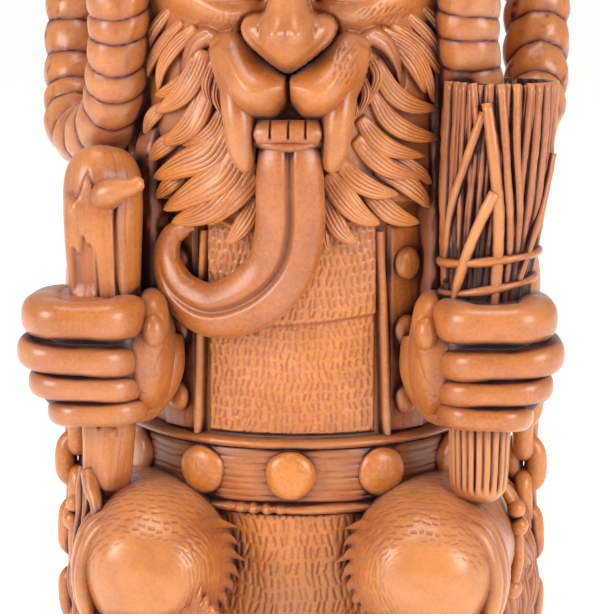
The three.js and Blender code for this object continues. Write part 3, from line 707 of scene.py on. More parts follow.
rim = smooth(0.0, 1.2, np.minimum(30 - far, plate_high.z / MM + 0.2 - z))
face = Piece("face")
face.slab(standing(x, z, 0.3 + (out - 0.3) * rim), standing(x, z, 0.2 + 0 * out), 0.9 * np.clip(cuts, 0, 1))
face.fire(skin_glaze, "skin", "face_plate", "nose", "muzzle", "left_eye", "right_eye", "brow_ridge")


# ---- teeth, fangs and tongue ----
# Rolled and cut by hand and stuck into the mouth. The tongue is a flat coil with a groove drawn down it; it
# hangs over the chin and curls up on the left.
def section(count, flat=1.0):
    """An oval section as two rows, across and up, going once round; flat below 1 squares it off."""
    v = np.linspace(0, 2 * np.pi, count, endpoint=False)
    return np.sign(np.cos(v)) * np.abs(np.cos(v)) ** flat, np.sign(np.sin(v)) * np.abs(np.sin(v)) ** flat


def swept(path, outward, across, up, wide=1.0, tall=1.0):
    """Rings along a path: across goes sideways over the clay it lies on and up goes outwards, times the
    half sizes."""
    along = np.gradient(path, axis=0)
    along = along / (np.linalg.norm(along, axis=1, keepdims=True) + 1e-9)
    normal = outward - (outward * along).sum(1, keepdims=True) * along
    normal = normal / (np.linalg.norm(normal, axis=1, keepdims=True) + 1e-9)
    sideways = np.cross(along, normal)
    wide, tall = (np.reshape(half, (-1, 1)) for half in (wide, tall))
    across, up = (wide * across)[..., None], (tall * up)[..., None]
    return path[:, None] + sideways[:, None] * across + normal[:, None] * up


def radial(path):
    """The direction straight out from the vessel's axis at each point of a path."""
    flat = path * (1, 1, 0)
    return flat / np.linalg.norm(flat, axis=1, keepdims=True)


teeth = Piece("teeth")
x = np.linspace(-6.6, 6.6, 111)[:, None]
across, up = section(32)
BITE = 134.6  # height of the middle of the teeth
z = BITE + 2.7 * up[None] + 0 * x
gaps = sum(np.exp(-(((x - place) / 0.22) ** 2)) for place in (-3.4, 0.15, 3.5))
gaps = gaps * smooth(133.4, 134.0, z)
depth = 9.6 + 3.3 * across[None] - 0.9 * gaps * (across > 0) - 0.8 * (x / 6.6) ** 4
rounded = 1 - smooth(6.0, 6.6, np.abs(x)) * 0.5
# painted shade in the gaps between the teeth
teeth.tube(standing(x, BITE + (z - BITE) * rounded, depth), gaps * (across > 0))
teeth.fire(skin_glaze, "skin", "upper_teeth")
lip = Piece("lower_lip")
LIP_LINE = [(-6.4, 8.6, 133.0), (-3.2, 10.2, 132.4), (0, 10.8, 132.2), (3.2, 10.2, 132.4), (6.4, 8.6, 133.0)]
x, out, z = through(LIP_LINE, 40).T
path = standing(x, z, out)
lip.tube(swept(path, radial(path), across[None], up[None], 1.15, 2.0))
lip.fire(skin_glaze, "skin", "upper_teeth")

FANG = [  # stations of (across, out from the wall, height, half width)
    (10.4, 7.4, 144.0, 3.2), (9.8, 9.2, 139.5, 3.3), (9.4, 9.8, 135.4, 3.1), (9.1, 9.8, 131.6, 2.8),
    (8.5, 9.8, 129.0, 2.1), (7.9, 9.8, 127.5, 1.2), (7.7, 9.8, 127.1, 0.3),
]
for side, name in ((-1, "left"), (1, "right")):
    x, out, z, half = through(FANG, 40).T
    path = standing(side * x, z, out)
    fang = Piece(f"{name}_fang_clay")
    fang.tube(swept(path, radial(path), across, up, half, half * 1.25))
    fang.fire(skin_glaze, "skin", f"{name}_fang")

TONGUE = [
    (0.3, 6.6, 133.5, 5.4), (0.3, 8.2, 130.5, 6.2), (0.3, 8.2, 124.5, 6.7), (0.2, 6.8, 115.5, 6.9),
    (-1.8, 6.0, 107.6, 6.8), (-7.4, 5.6, 101.4, 6.5), (-15.4, 5.2, 98.4, 5.6), (-22.2, 5.0, 101.2, 4.6),
    (-25.4, 4.8, 107.2, 3.5), (-24.4, 4.7, 112.4, 2.5), (-21.4, 4.6, 114.6, 1.7), (-19.4, 4.5, 114.8, 0.5),
]
x, out, z, half = through(TONGUE, 190).T
path = standing(x, z, out)
v = np.linspace(0, 2 * np.pi, 64, endpoint=False)
down = np.linspace(0, 1, 190)[:, None]
groove = np.exp(-((np.cos(v) / 0.12) ** 2)) * (np.sin(v) > 0) * smooth(0.78, 0.5, down)
up = np.where(np.sin(v) > 0, np.abs(np.sin(v)) ** 0.55 * (1 + 0.1 * np.cos(2 * v - np.pi)), np.sin(v))
up = up * (1 - 0.42 * groove)
tongue_glaze = glaze("tongue_glaze", TOFFEE, CARAMEL, pale=0.15)
tongue = Piece("tongue_clay")
# painted shade in the groove
tongue.tube(swept(path, radial(path), np.cos(v) + 0 * down, up, half, 0.62 * half), 0.6 * groove)
tongue.fire(tongue_glaze, "skin", "tongue")


# ---- beard and hair ----
# Every lock is a leaf-shaped coil of clay laid over the one below and drawn down with a loop tool, so it
# has a raised rim, two to seven grooves and a free tip. Behind the horns the hair runs round the back in
# overlapping rows.
def lock(
    made, stations, wide, out, rise, grooves, seed, shape=standing, middle=(0, 0, 0), upright=True, fine=False
):
    """One lock from root to tip. Its width is a leaf's: sin(pi t) squared off, and its tip stands out
    furthest. It faces away from an upright line through the middle, or from the middle itself. A fine one
    has a closer mesh."""
    draw = np.random.default_rng(seed)
    count = 28 if fine else 15
    t = np.linspace(0, 1, count)
    line = through(stations, count)
    lifted = out + rise * (0.15 + 0.85 * smooth(0.0, 0.55, t)) - 0.5 * smooth(0.8, 1, t)
    path = shape(line[:, 0], line[:, 1], lifted)
    width = wide * np.clip(np.sin(np.pi * (0.13 + 0.87 * t) ** 0.85), 0, 1) ** 0.62 + 0.04
    v = np.r_[np.linspace(0.0, np.pi, 31 if fine else 14), np.linspace(np.pi, 2 * np.pi, 6)[1:-1]]
    u = np.cos(v)
    top = (np.sin(v) > 0) & (v < np.pi)
    sway = draw.uniform(-0.6, 0.6) + 0.9 * np.sin(3 * t[:, None] + seed)
    comb = 0.5 + 0.5 * np.cos(u * np.pi * grooves + sway)
    fading = (smooth(0.05, 0.2, t) * smooth(0.97, 0.75, t))[:, None]
    comb = comb ** (5 if fine else 3) * top * smooth(0.97, 0.6, np.abs(u)) * fading
    keel = 1 + draw.uniform(-0.3, 0.3) * u * top
    up = np.where(top, np.abs(np.sin(v)) ** 0.7, -0.5 * np.abs(np.sin(v))) * keel * (1 - 0.34 * comb)
    outward = (path - middle) * (1, 1, 0 if upright else 1)
    outward = outward / np.linalg.norm(outward, axis=1, keepdims=True)
    # painted shade on the underside of each lock darkens the gaps between locks; the grooves get it too
    under = 0.85 * smooth(0.4, -0.1, np.sin(v))[None]
    rings = swept(path, outward, u + 0 * up, up, 1.12 * width, 0.4 + 0.5 * width)
    made.tube(rings, np.maximum(0.75 * comb, under))


def beard(node, side, locks, seed):
    """A base of clay with the locks laid on it from the lowest up. A lock is (half width, station, station,
    ...)."""
    made = Piece(node + "_clay", share=0.6)
    edge = through([(9, 119), (14, 124), (19, 133), (24, 144), (27, 155), (28, 160)], 40)
    brim = through([(9, 114), (20, 117), (27, 122), (31.5, 134), (33, 146), (33, 156), (32.5, 160)], 40)
    s = np.linspace(0, 1, 24)[None, :, None]
    sheet = edge[:, None] * (1 - s) + brim[:, None] * s
    sheet = np.stack([side * sheet[..., 0], sheet[..., 1]], -1)
    sheet = sheet if side > 0 else sheet[:, ::-1]
    comb = np.sin(sheet[..., 0] * 2.2 + 2 * np.sin(sheet[..., 1] * 0.5)) ** 2
    out = (3.2 - 0.6 * comb) * smooth(1.02, 0.8, s[..., 0]) + 0.4
    x, z = sheet[..., 0], sheet[..., 1]
    # painted shade on the base between and under the locks
    made.slab(standing(x, z, out), standing(x, z, 0.3 + 0 * out), 0.4 * comb)
    for k, (wide, *stations) in enumerate(sorted(locks, key=lambda one: one[-1][1])):
        depth = 4.4 - 0.05 * max(0, abs(stations[1][0]) - 14) - 1.1 * float(smooth(124, 114, stations[1][1]))
        grooves = 3 if wide < 1.4 else 5 if wide < 2.2 else 7
        lock(made, stations, wide, depth, 1.2 + 0.2 * wide, grooves, seed + k, fine=True)
    made.fire(hair_glaze, "hair", node)


hair_glaze = glaze("hair_glaze", CARAMEL, HONEY, painted_shading=0.8)
beard("right_beard", 1, [
    (1.0, (6.6, 116.5), (6.8, 113.5), (7.6, 110.6)),
    (1.8, (6.8, 121.5), (8.6, 117.4), (10.6, 114.4), (13.4, 112.2)),
    (2.3, (7.2, 126.2), (10.2, 122.2), (13.6, 118.4), (17.8, 115.9)),
    (2.0, (14.6, 123.4), (18, 119.6), (21.4, 117.2), (25.6, 115.6)),
    (1.9, (16.8, 127), (22.4, 124.2), (25.6, 121.4), (27.6, 118.6)),
    (1.9, (9.6, 128.6), (12.8, 125.2), (17.0, 122.8), (21.4, 121.8)),
    (1.4, (18.8, 130.2), (23.0, 127.6), (26.0, 125.4), (27.9, 123.2)),
    (1.9, (12.8, 133.2), (16.6, 129.2), (20.4, 126.6), (26.8, 124.6)),
    (1.8, (13.6, 137.2), (17.0, 132.9), (20.8, 130.6), (26.6, 129.0)),
    (1.9, (15.8, 142.8), (19.4, 136.8), (24.2, 133.8), (29.8, 132.4)),
    (1.9, (16.4, 148.4), (19.6, 142.7), (23.6, 139.6), (29.2, 138.4)),
    (1.0, (15.2, 149.9), (17.2, 145.3), (15.2, 139.7)),
    (0.9, (14.0, 145.5), (15.0, 141.7), (13.2, 137.6)),
    (0.7, (12.2, 141.2), (12.9, 138.8), (12.2, 136.6)),
    (1.5, (17.4, 154.4), (23.6, 150.4), (26.8, 145.2), (28.4, 139.4)),
    (1.3, (20.4, 151.6), (24.4, 146.6), (26.6, 141.6)),
    (1.3, (19.6, 155.6), (25.4, 151.2), (28.8, 146.8), (31.2, 143.2)),
    (1.2, (22.6, 157.4), (27.4, 152.6), (30.0, 147.6)),
    (1.2, (25.2, 159.8), (29.2, 155.0), (31.0, 150.2)),
], 100)
beard("left_beard", -1, [
    (1.8, (-6.6, 121.5), (-8.4, 117.4), (-10.4, 114.4), (-12.4, 112.0)),
    (2.1, (-6.4, 126.0), (-9.4, 122.8), (-12.8, 119.4), (-16.4, 115.6)),
    (2.9, (-7.6, 129.4), (-12.4, 122.6), (-17.2, 118.4), (-24.2, 115.6)),
    (3.2, (-9.6, 131.6), (-13.4, 125.6), (-18.8, 122.2), (-26.0, 118.0)),
    (3.0, (-12.2, 135.6), (-15.8, 130.2), (-21.2, 127.6), (-28.2, 124.2)),
    (1.7, (-21.4, 125.4), (-24.6, 123.2), (-27.8, 120.2)),
    (1.8, (-22.4, 133.0), (-26.4, 130.4), (-29.8, 127.2)),
    (1.7, (-13.0, 138.8), (-14.8, 134.8), (-17.8, 132.6), (-21.8, 131.4)),
    (2.5, (-16.0, 143.2), (-18.4, 137.5), (-21.4, 134.0), (-26.4, 131.4)),
    (1.6, (-19.4, 145.6), (-23.0, 142.8), (-27.6, 140.8)),
    (2.3, (-17.0, 150.6), (-19.4, 144.8), (-22.4, 140.9), (-27.4, 137.6)),
    (1.0, (-15.2, 148.4), (-16.6, 143.4), (-15.6, 139.3)),
    (0.9, (-14.0, 145.8), (-14.5, 141.2), (-12.9, 137.4)),
    (0.7, (-12.6, 141.8), (-12.6, 139.0), (-11.9, 136.8)),
    (1.5, (-18.6, 155.0), (-23.2, 150.8), (-26.0, 146.6), (-27.0, 141.4)),
    (1.4, (-21.4, 156.2), (-25.6, 151.7), (-28.6, 147.4), (-29.6, 144.2)),
    (1.3, (-24.2, 158.4), (-27.8, 153.8), (-29.6, 149.2)),
    (1.5, (-25.6, 139.0), (-28.6, 136.2), (-30.2, 132.6)),
], 160)

forelock = Piece("forelock_clay", share=0.55)
low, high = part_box("forelock")
x, z = np.meshgrid(np.linspace(-28, 28, 80), np.linspace(low.z / MM, high.z / MM, 20))
# painted shade on the base under the locks
forelock.slab(standing(x, z, 2.2 + 0 * x), standing(x, z, 0.3 + 0 * x), 0.4 + 0 * x)
for row, (foot, tip, reach) in enumerate(((181.0, 191.5, 27.0), (180.4, 188.0, 25.5))):
    for k, start in enumerate(np.linspace(-1, 1, 12 - row)):
        root_x, tip_x = start * 18.0, start * reach
        bend = 2.6 * math.sin(k * 2.1 + row)
        halfway = ((root_x + tip_x) / 2 + bend, (foot + tip) / 2)
        stations = [(root_x, foot - 1.0), halfway, (tip_x - bend * 0.4, tip)]
        lock(forelock, stations, 2.5, 2.6 + 0.5 * row, 1.2, 2, 200 + k + 20 * row)
forelock.fire(hair_glaze, "hair", "forelock")


def round_back(angle, z, out):
    """Points at an angle from the face in hundredths of a turn, which keeps a lock's stations of like
    size."""
    return turned(angle * (np.pi / 50), WALL + out, z)


hair = Piece("back_hair_clay", share=0.55)
low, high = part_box("back_hair")
angle = np.linspace(16.0, 84.0, 120)[None]
z = np.linspace(low.z / MM + 2, high.z / MM, 24)[:, None]
angle, z = np.broadcast_arrays(angle, z)
# painted shade on the base under the locks
hair.slab(round_back(angle, z, 1.8 + 0 * z), round_back(angle, z, 0.2 + 0 * z), 0.5 + 0 * z)
for row, root in enumerate(np.linspace(low.z / MM + 14, high.z / MM - 0.5, 7)):
    for k in range(27):
        draw = np.random.default_rng(1000 + 40 * row + k)
        a = 17.4 + 65.4 * (k + 0.5 * (row % 2)) / 26.5
        length = 19.0 + draw.uniform(-4.0, 4.0)
        drift = 1.1 * math.sin(0.8 * k + 1.7 * row) + draw.uniform(-0.5, 0.5)
        tip = max(root - length, low.z / MM - 1.5)
        steps = np.clip([a, a + drift, a - 0.3 * drift, a + 0.9 * drift], 16.8, 83.2)
        stations = list(zip(steps, np.linspace(root, tip, 4)))
        lock(hair, stations, draw.uniform(1.9, 3.0), 1.7, 1.5, 3, 1000 + 40 * row + k, round_back)
hair.fire(hair_glaze, "hair", "back_hair")


# ---- horns ----
# Each horn is a tapering coil bent into a loop beside the head: down behind, round under and up again in
# front. The rings are rolled in with a notched stick, fat behind and close and shallow in front.
HORN = [  # stations of (angle from the face, out from the wall, down from the lip, share of the radius)
    (97, 3.4, 14, 0.88), (102, 8, 10, 1.0), (105, 14.6, 16, 0.98), (104.5, 17.2, 33, 0.95),
    (99, 16.4, 49, 0.93), (89, 14.5, 61, 0.9), (74, 11, 65.5, 0.88), (60, 9, 61, 0.86), (53, 9.6, 50, 0.84),
    (51, 10.2, 37, 0.83), (51.5, 12.5, 25.5, 0.68), (52.5, 16.5, 16, 0.3),
]
HORN_RADIUS = 7.4
horn_glaze = glaze("horn_glaze", TOFFEE, CARAMEL, painted_shading=1.35)
for side, name in ((-1, "left"), (1, "right")):
    stations = through(HORN, 520)
    pull = 1.6 * smooth(80, 95, stations[:, 0]) * (side < 0)
    path = turned(side * np.radians(stations[:, 0]), WALL + stations[:, 1] - pull, LIP - stations[:, 2])
    run = np.r_[0, np.cumsum(np.linalg.norm(np.diff(path, axis=0), axis=1))]
    share = run / run[-1]
    pitch = 7.6 - 2.4 * smooth(0.45, 0.75, share)
    turns = np.r_[0, np.cumsum(np.diff(run) / pitch[1:])]
    v = np.linspace(0, 2 * np.pi, 48, endpoint=False)
    slant = 0.22 * np.sin(v + 0.6) + 0.08 * np.sin(2 * v + 1)
    phase = turns[:, None] + slant[None] + 0.06 * np.sin(turns * 2.3)[:, None]
    ringed = np.abs(np.sin(np.pi * phase)) ** 0.55
    run, share = run[:, None], share[:, None]
    depth = (0.17 - 0.09 * smooth(0.45, 0.8, share)) * smooth(1.0, 0.9, share)
    depth = depth * (1 + 0.35 * waves(v, run * 1.5, 13, fine=1.5))
    worn = waves(v, run * 1.3, 27 + side, fine=2.0) + 0.5 * waves(v, run * 2.0, 31, fine=5.0)
    patches = smooth(0.15, 1.0, worn) * (0.7 - 0.35 * smooth(0.35, 0.6, share))
    groove = np.maximum((1 - ringed) ** 1.8, patches)
    fine = 0.012 * np.sin(v * 9 + phase * 2) * ringed
    size = HORN_RADIUS * stations[:, 3:] * (1.04 - depth * (1 - ringed) + fine + 0.012 * worn)
    horn = Piece(f"{name}_horn_clay")
    # painted shade in the ring grooves and in patches
    horn.tube(swept(path, (0.92 * side, -0.39, 0.0), np.cos(v) * size, np.sin(v) * size), groove * 0.95)
    horn.fire(horn_glaze, "horn", f"{name}_horn")


# ---- club ----
# A knobbly branch held upright in the left fist: a tapered coil with a raised strip, a chip, a stub of a
# side branch and splinters at the bottom. Webs of clay behind it tie it to the vessel.
def web(made, angle, wide, low, high, reach):
    """A rough wall of clay with rounded edges, streaked dark with painted shade, standing out from the vessel
    behind a rod and lower at the top."""
    z = np.linspace(low, high, 60)[:, None]
    v = np.linspace(0, 2 * np.pi, 40, endpoint=False)[None]
    sides = np.sign(np.sin(v)) * np.abs(np.sin(v)) ** 0.5
    rough = 0.3 * waves(v * 2, z, 17, fine=3.0)
    reach = reach * np.sqrt(np.clip((high - z) / 9, 0.02, 1))
    out = reach / 2 - reach / 2 * np.cos(v) + 0.3 + rough
    painted_shade = 0.3 + 0.6 * streaks(z * 0.5, sides * 3 + 0.2 * np.sin(z), 93, 1.3)
    made.tube(turned(np.radians(angle) + wide / 2 / WALL * sides, WALL + out, z), painted_shade)


def rod_path(table, side, count):
    """Points up a held rod and its half thickness, from stations of (height, out, angle from the face,
    half)."""
    stations = through(table, count)
    z, out, angle, half = stations.T
    return turned(side * np.radians(angle), WALL + out, z), half


def limb(made, stations, outward, count=60, around=40, squash=1.0):
    """A rounded coil through stations of (x, y, z, half thickness)."""
    line = through(stations, count)
    thick = np.maximum(line[:, 3], 0.05)
    across, up = section(around)
    made.tube(swept(line[:, :3], outward, across, up, thick, thick * squash))


AHEAD = (0.0, -1.0, 0.0)
CLUB = [
    (57.6, 17, 47.4, 0.6), (59.4, 16.8, 47.4, 3.4), (63.5, 16.2, 47.4, 4.9), (70.8, 15.5, 47.4, 5.3),
    (79.5, 14.8, 48.0, 5.7), (88, 14.5, 48.7, 6.1), (98, 14.5, 50, 7.0), (109, 14.5, 51, 7.5),
    (119, 14.2, 51.7, 7.9), (124.5, 14, 52, 7.7), (128, 13.8, 52.2, 6.4), (130, 13.6, 52.4, 4.2),
    (130.8, 13.5, 52.5, 0.8),
]
club = Piece("club_clay")
path, half = rod_path(CLUB, -1, 250)
v = np.linspace(0, 2 * np.pi, 200, endpoint=False)[None]
z = path[:, 2:3]
u, front = np.cos(v), np.sin(v) > 0
crest = 120.6 + 4.2 * np.exp(-(((u + 0.22) / 0.14) ** 2)) + 0.5 * np.sin(u * 17 + 1)
strip = smooth(crest + 0.5, crest - 0.5, z) * smooth(0.46, 0.38, u + 0.02 * np.sin(z * 0.5))
strip = strip * front * smooth(98, 100, z) * smooth(-0.97, -0.7, u)
crease = 0.6 * np.exp(-(((u + 0.06) / 0.04) ** 2)) * smooth(112, 104, z)
crease = crease + 0.8 * np.exp(-(((u - 0.44) / 0.045) ** 2)) * smooth(121, 118, z)
crease = crease * front * smooth(97, 100, z)
peak = np.exp(-(((z - crest - 0.7) / 0.7) ** 2)) * front * smooth(0.5, 0.3, u) * smooth(-0.9, -0.6, u)
ragged = 111 + 1.3 * np.sin(u * 14) + 0.8 * np.sin(u * 31 + 1)
chip = smooth(ragged + 0.5, ragged - 0.5, z) * smooth(100.5, 103.5 + 6 * (u + 0.4) ** 2, z) * front
chip = chip * smooth(-0.78, -0.6, u) * smooth(-0.1, -0.2, u)
pit = spot(u, z, -0.35, 74.5, 0.09, 0.7)
knobs = 0.9 * spot(u, z, -0.5, 118.4, 0.13, 1.6) + 0.8 * spot(u, z, 0.25, 73, 0.09, 0.8)
grain = streaks(z, v * 6, 77, 1.9) * 0.35
size = half[:, None] + 0.8 * strip - 0.8 * crease - 0.25 * peak - 0.9 * chip + (knobs - 1.1 * pit) * front
size = size - 0.18 * grain + 0.35 * np.sin(3 * v + z * 0.06) + 0.2 * np.sin(5 * v - z * 0.11 + 1)
# painted shade in the creases, chip, pit and grain
hollow = 0.9 * crease + 0.4 * peak + 0.4 * chip * smooth(-0.15, -0.7, u) + pit * front + 0.3 * grain
club.tube(swept(path, AHEAD, u * size, np.sin(v) * size), np.clip(hollow, 0, 1))
STUB = [
    (-40.2, -33.0, 119.4, 3.4), (-37.2, -37.0, 121.4, 3.3), (-34.2, -38.4, 122.7, 2.6),
    (-31.6, -39.2, 123.4, 1.7), (-30.0, -38.6, 124.2, 1.5), (-29.6, -38.4, 124.4, 0.9),
    (-29.5, -38.3, 124.4, 0.2),
]
limb(club, STUB, AHEAD, 26, 24)
for splinter in (
    [(-40.6, -36.0, 64.0, 2.6), (-40.4, -38.6, 61.4, 1.9), (-39.5, -40.6, 59.4, 1.4),
     (-38.8, -41.8, 56.6, 1.3), (-38.3, -42.6, 54.0, 0.3)],
    [(-42.0, -32.0, 64.0, 2.2), (-43.2, -33.2, 59.6, 1.5), (-43.6, -34.0, 54.6, 1.1),
     (-44.6, -34.4, 48.6, 0.9), (-45.0, -34.4, 44.2, 0.3)],
    [(-41.2, -34.0, 62.0, 2.0), (-41.6, -36.8, 58.0, 1.2), (-42.2, -37.6, 52.4, 1.0),
     (-43.2, -38.2, 47.4, 0.3)],
):
    limb(club, splinter, AHEAD, 24, 16)
web(club, -48, 6.5, 84, 139, 6.5)
web(club, -51, 3.6, 78, 118, 12)
wood_glaze = glaze("wood_glaze", TOFFEE, CARAMEL, painted_shading=1.5)
club.fire(wood_glaze, "wood", "club")


# ---- bundle of sticks and its bindings ----
# A core painted dark with shade, with rods laid on it, some crossing, flat across the top, gathered to a
# fluted butt below the fist. Two round cords tie it above the fist, and webs of clay tie it to the vessel.
BUNDLE = [
    (58.8, 17.4, 47, 0.6), (59.6, 17.4, 47, 3.8), (61.6, 17.3, 47, 5.5), (65.0, 17.2, 47.1, 6.0),
    (73.2, 17, 47.5, 6.3), (80, 16.5, 48.4, 6.8), (88, 16, 49.5, 7.0), (99, 15.6, 50.8, 7.6),
    (109, 15.5, 52, 8.5), (120, 16.0, 52.9, 9.7), (130, 16.4, 53.5, 10.2), (143.4, 16.6, 54.5, 10.4),
]
bundle = Piece("bundle_clay", share=0.5)
path, half = rod_path(BUNDLE, 1, 220)
v = np.linspace(0, 2 * np.pi, 150, endpoint=False)[None]
z = path[:, 2:3]
flute = np.clip(np.cos(v * 22 + 0.8 * np.sin(v * 3) + 0.25 * np.sin(z * 0.4)), 0, 1) ** 1.6
flute = flute * smooth(60.8, 63.5, z) * smooth(97, 90, z) * (0.55 + 0.45 * np.sin(v * 7 + 2) ** 2)
# the core between the rods is painted dark with shade, and so are the flutes of the butt
core = smooth(92, 100, z)
size = half[:, None] * (1 - 0.11 * core) - 0.95 * flute
bundle.tube(swept(path, AHEAD, np.cos(v) * size, np.sin(v) * size), np.maximum(flute, core))


def round_bundle(a, z, lift):
    """Points on the bundle at angles from its right side and heights, raised by lift, and which way they
    face."""
    levels, *sizes = np.array(BUNDLE).T
    out, angle, half = (np.interp(z, levels, size) for size in sizes)
    facing = np.stack([np.cos(a), -np.sin(a), 0 * a], -1)
    return turned(np.radians(angle), WALL + out, z) + facing * (half + lift)[:, None], facing


def stick(made, stations, thick, lift=0.0):
    """A rod on the bundle through stations of (degrees round it from its right side, height). Each end is
    stepped in over a very short length, so that it is cut off flat with a broken edge."""
    line = through(stations, 28)
    start, end = 0.97 * line[:1] + 0.03 * line[1:2], 0.03 * line[-2:-1] + 0.97 * line[-1:]
    line = np.concatenate([line[:1], start, line[1:-1], end, line[-1:]])
    z = line[:, 1]
    points, facing = round_bundle(np.radians(line[:, 0]), z, lift - 0.35)
    bark = 1 + 0.05 * np.sin(z * 0.5 + stations[0][0]) + 0.03 * np.sin(z * 1.7)
    half = thick * bark * np.r_[0.7, np.ones(len(z) - 2), 0.7]
    across, up = section(16)
    # painted shade on the sides and underside of each rod, dark lines between the rods
    deep = 0.95 * smooth(0.55, -0.2, up)[None] + 0 * z[:, None]
    made.tube(swept(points, facing, across, up, half, half), deep)


for degrees, thick in (
    (168, 1.7), (150, 1.0), (137, 0.8), (60, 1.0), (48, 1.2), (34, 1.3), (20, 1.0), (8, 1.5), (-14, 1.8),
    (-36, 1.8), (-60, 1.9), (-84, 1.7), (-106, 1.9), (-130, 1.8), (-152, 1.9), (185, 1.7),
):
    sway = 2.0 * math.sin(degrees * 0.13)
    stick(bundle, [(degrees, 99), (degrees + sway, 121), (degrees - sway * 0.5, 144.2)], thick)
for thick, lift, *stations in (
    (1.25, 1.0, (80, 99.5), (82, 112), (92, 126), (106, 140.5)),
    (0.95, 0.7, (66, 99.5), (68, 112), (80, 126), (93, 144.2)),
    (0.9, 0.6, (54, 99.5), (59, 116), (72, 131), (77, 144.2)),
    (1.0, 0.8, (161, 104), (151, 116), (128, 128), (109, 138.6)),
    (1.15, 1.6, (136, 99.5), (126, 106), (105, 117), (92, 123.0)),
    (0.95, 1.2, (50, 105), (35, 114), (21, 124), (15, 130)),
    (0.7, -0.1, (118, 102), (121, 116), (117, 131)),
    (0.7, -0.2, (104, 100), (103, 110), (108, 122)),
    (0.6, -0.1, (128, 110), (124, 122), (114, 134)),
    (0.8, 0.2, (98, 130), (101, 136), (104, 144.2)),
    (0.8, 0.2, (90, 126), (86, 135), (86, 144.2)),
    (0.9, 0.3, (116, 136), (120, 140), (124, 144.2)),
):
    stick(bundle, stations, thick, lift)
for k in range(26):
    degrees, sway = 15 + 6.2 * k, 5.0 * math.sin(k * 2.7)
    stations = [(degrees, 99), (degrees + sway, 118), (degrees - 0.6 * sway, 143.9)]
    stick(bundle, stations, 0.85 if k % 3 == 0 else 0.6, -0.25)
web(bundle, 51, 5, 78, 122, 13)
web(bundle, 49, 6, 84, 158, 6)
bundle.fire(wood_glaze, "wood", "twig_bundle")

UPWARD = np.array([0.0, 0.0, 1.0])


def hoop(made, loop, outward, beside, thick, count):
    """A round coil along a closed loop of points, whose section lies between two directions."""
    w = np.linspace(0, 2 * np.pi, count + 1)[None, :-1, None]
    made.ring(loop[:, None] + thick[:, None, None] * (outward[:, None] * np.cos(w) + beside * np.sin(w)))


for name, height, tilt in (("upper", 109.2, 1.2), ("lower", 103.4, 1.8)):
    a = np.linspace(0, 2 * np.pi, 121)[:-1]
    loop, facing = round_bundle(a, height + tilt * np.cos(a), 1.15)
    cord = Piece(f"{name}_binding_clay")
    hoop(cord, loop, facing, UPWARD, 0.95 + 0.1 * np.sin(a * 5), 14)
    cord.fire(wood_glaze, "wood", f"{name}_binding")


# ---- arms and fists ----
# Arms are thick coils luted to the wall. A fist is a pad of clay with four rolled fingers bent round the
# rod and a thumb laid down the inner side; the creases are opened with a pointed tool.
def ball(made, centre, radii, dent=0.0, seed=0, square=1.0, dark=0.0):
    """A round lump with its own three radii, dented by waves; square below 1 boxes it, dark paints shade over
    all but its top."""
    t = np.linspace(0.02, np.pi - 0.02, 40)[:, None]
    v = np.linspace(0, 2 * np.pi, 56, endpoint=False)[None]
    way = np.stack(np.broadcast_arrays(np.sin(t) * np.cos(v), np.sin(t) * np.sin(v), np.cos(t)), -1)
    way = np.sign(way) * np.abs(way) ** square
    bumps = 1 + dent * waves(v, t * 20, seed)
    painted_shade = dark * smooth(0.85, 0.7, way[..., 2])
    made.tube(np.array(centre) + way * np.array(radii) * bumps[..., None], painted_shade)


def mirrored(side, stations):
    """Stations given for the right side, carried to the side that is wanted."""
    return [(side * across, *rest) for across, *rest in stations]


ARM = [
    (30, 2, 123, 5.5), (35, 4, 119, 7.4), (41, 8, 110, 8.6), (44.5, 9, 100, 8.0), (44.4, 5, 91.5, 7.8),
    (43, -4, 88, 7.6), (40.5, -14, 88, 7.2), (38.6, -22, 88, 7.0),
]
LEVELS = (97.2, 89.2, 83.2, 77.9)  # of the four fingers, from the forefinger down
THICK = (3.9, 3.2, 2.65, 2.5)
TILTS = (0.2, 0.9, 0.5, -0.4)
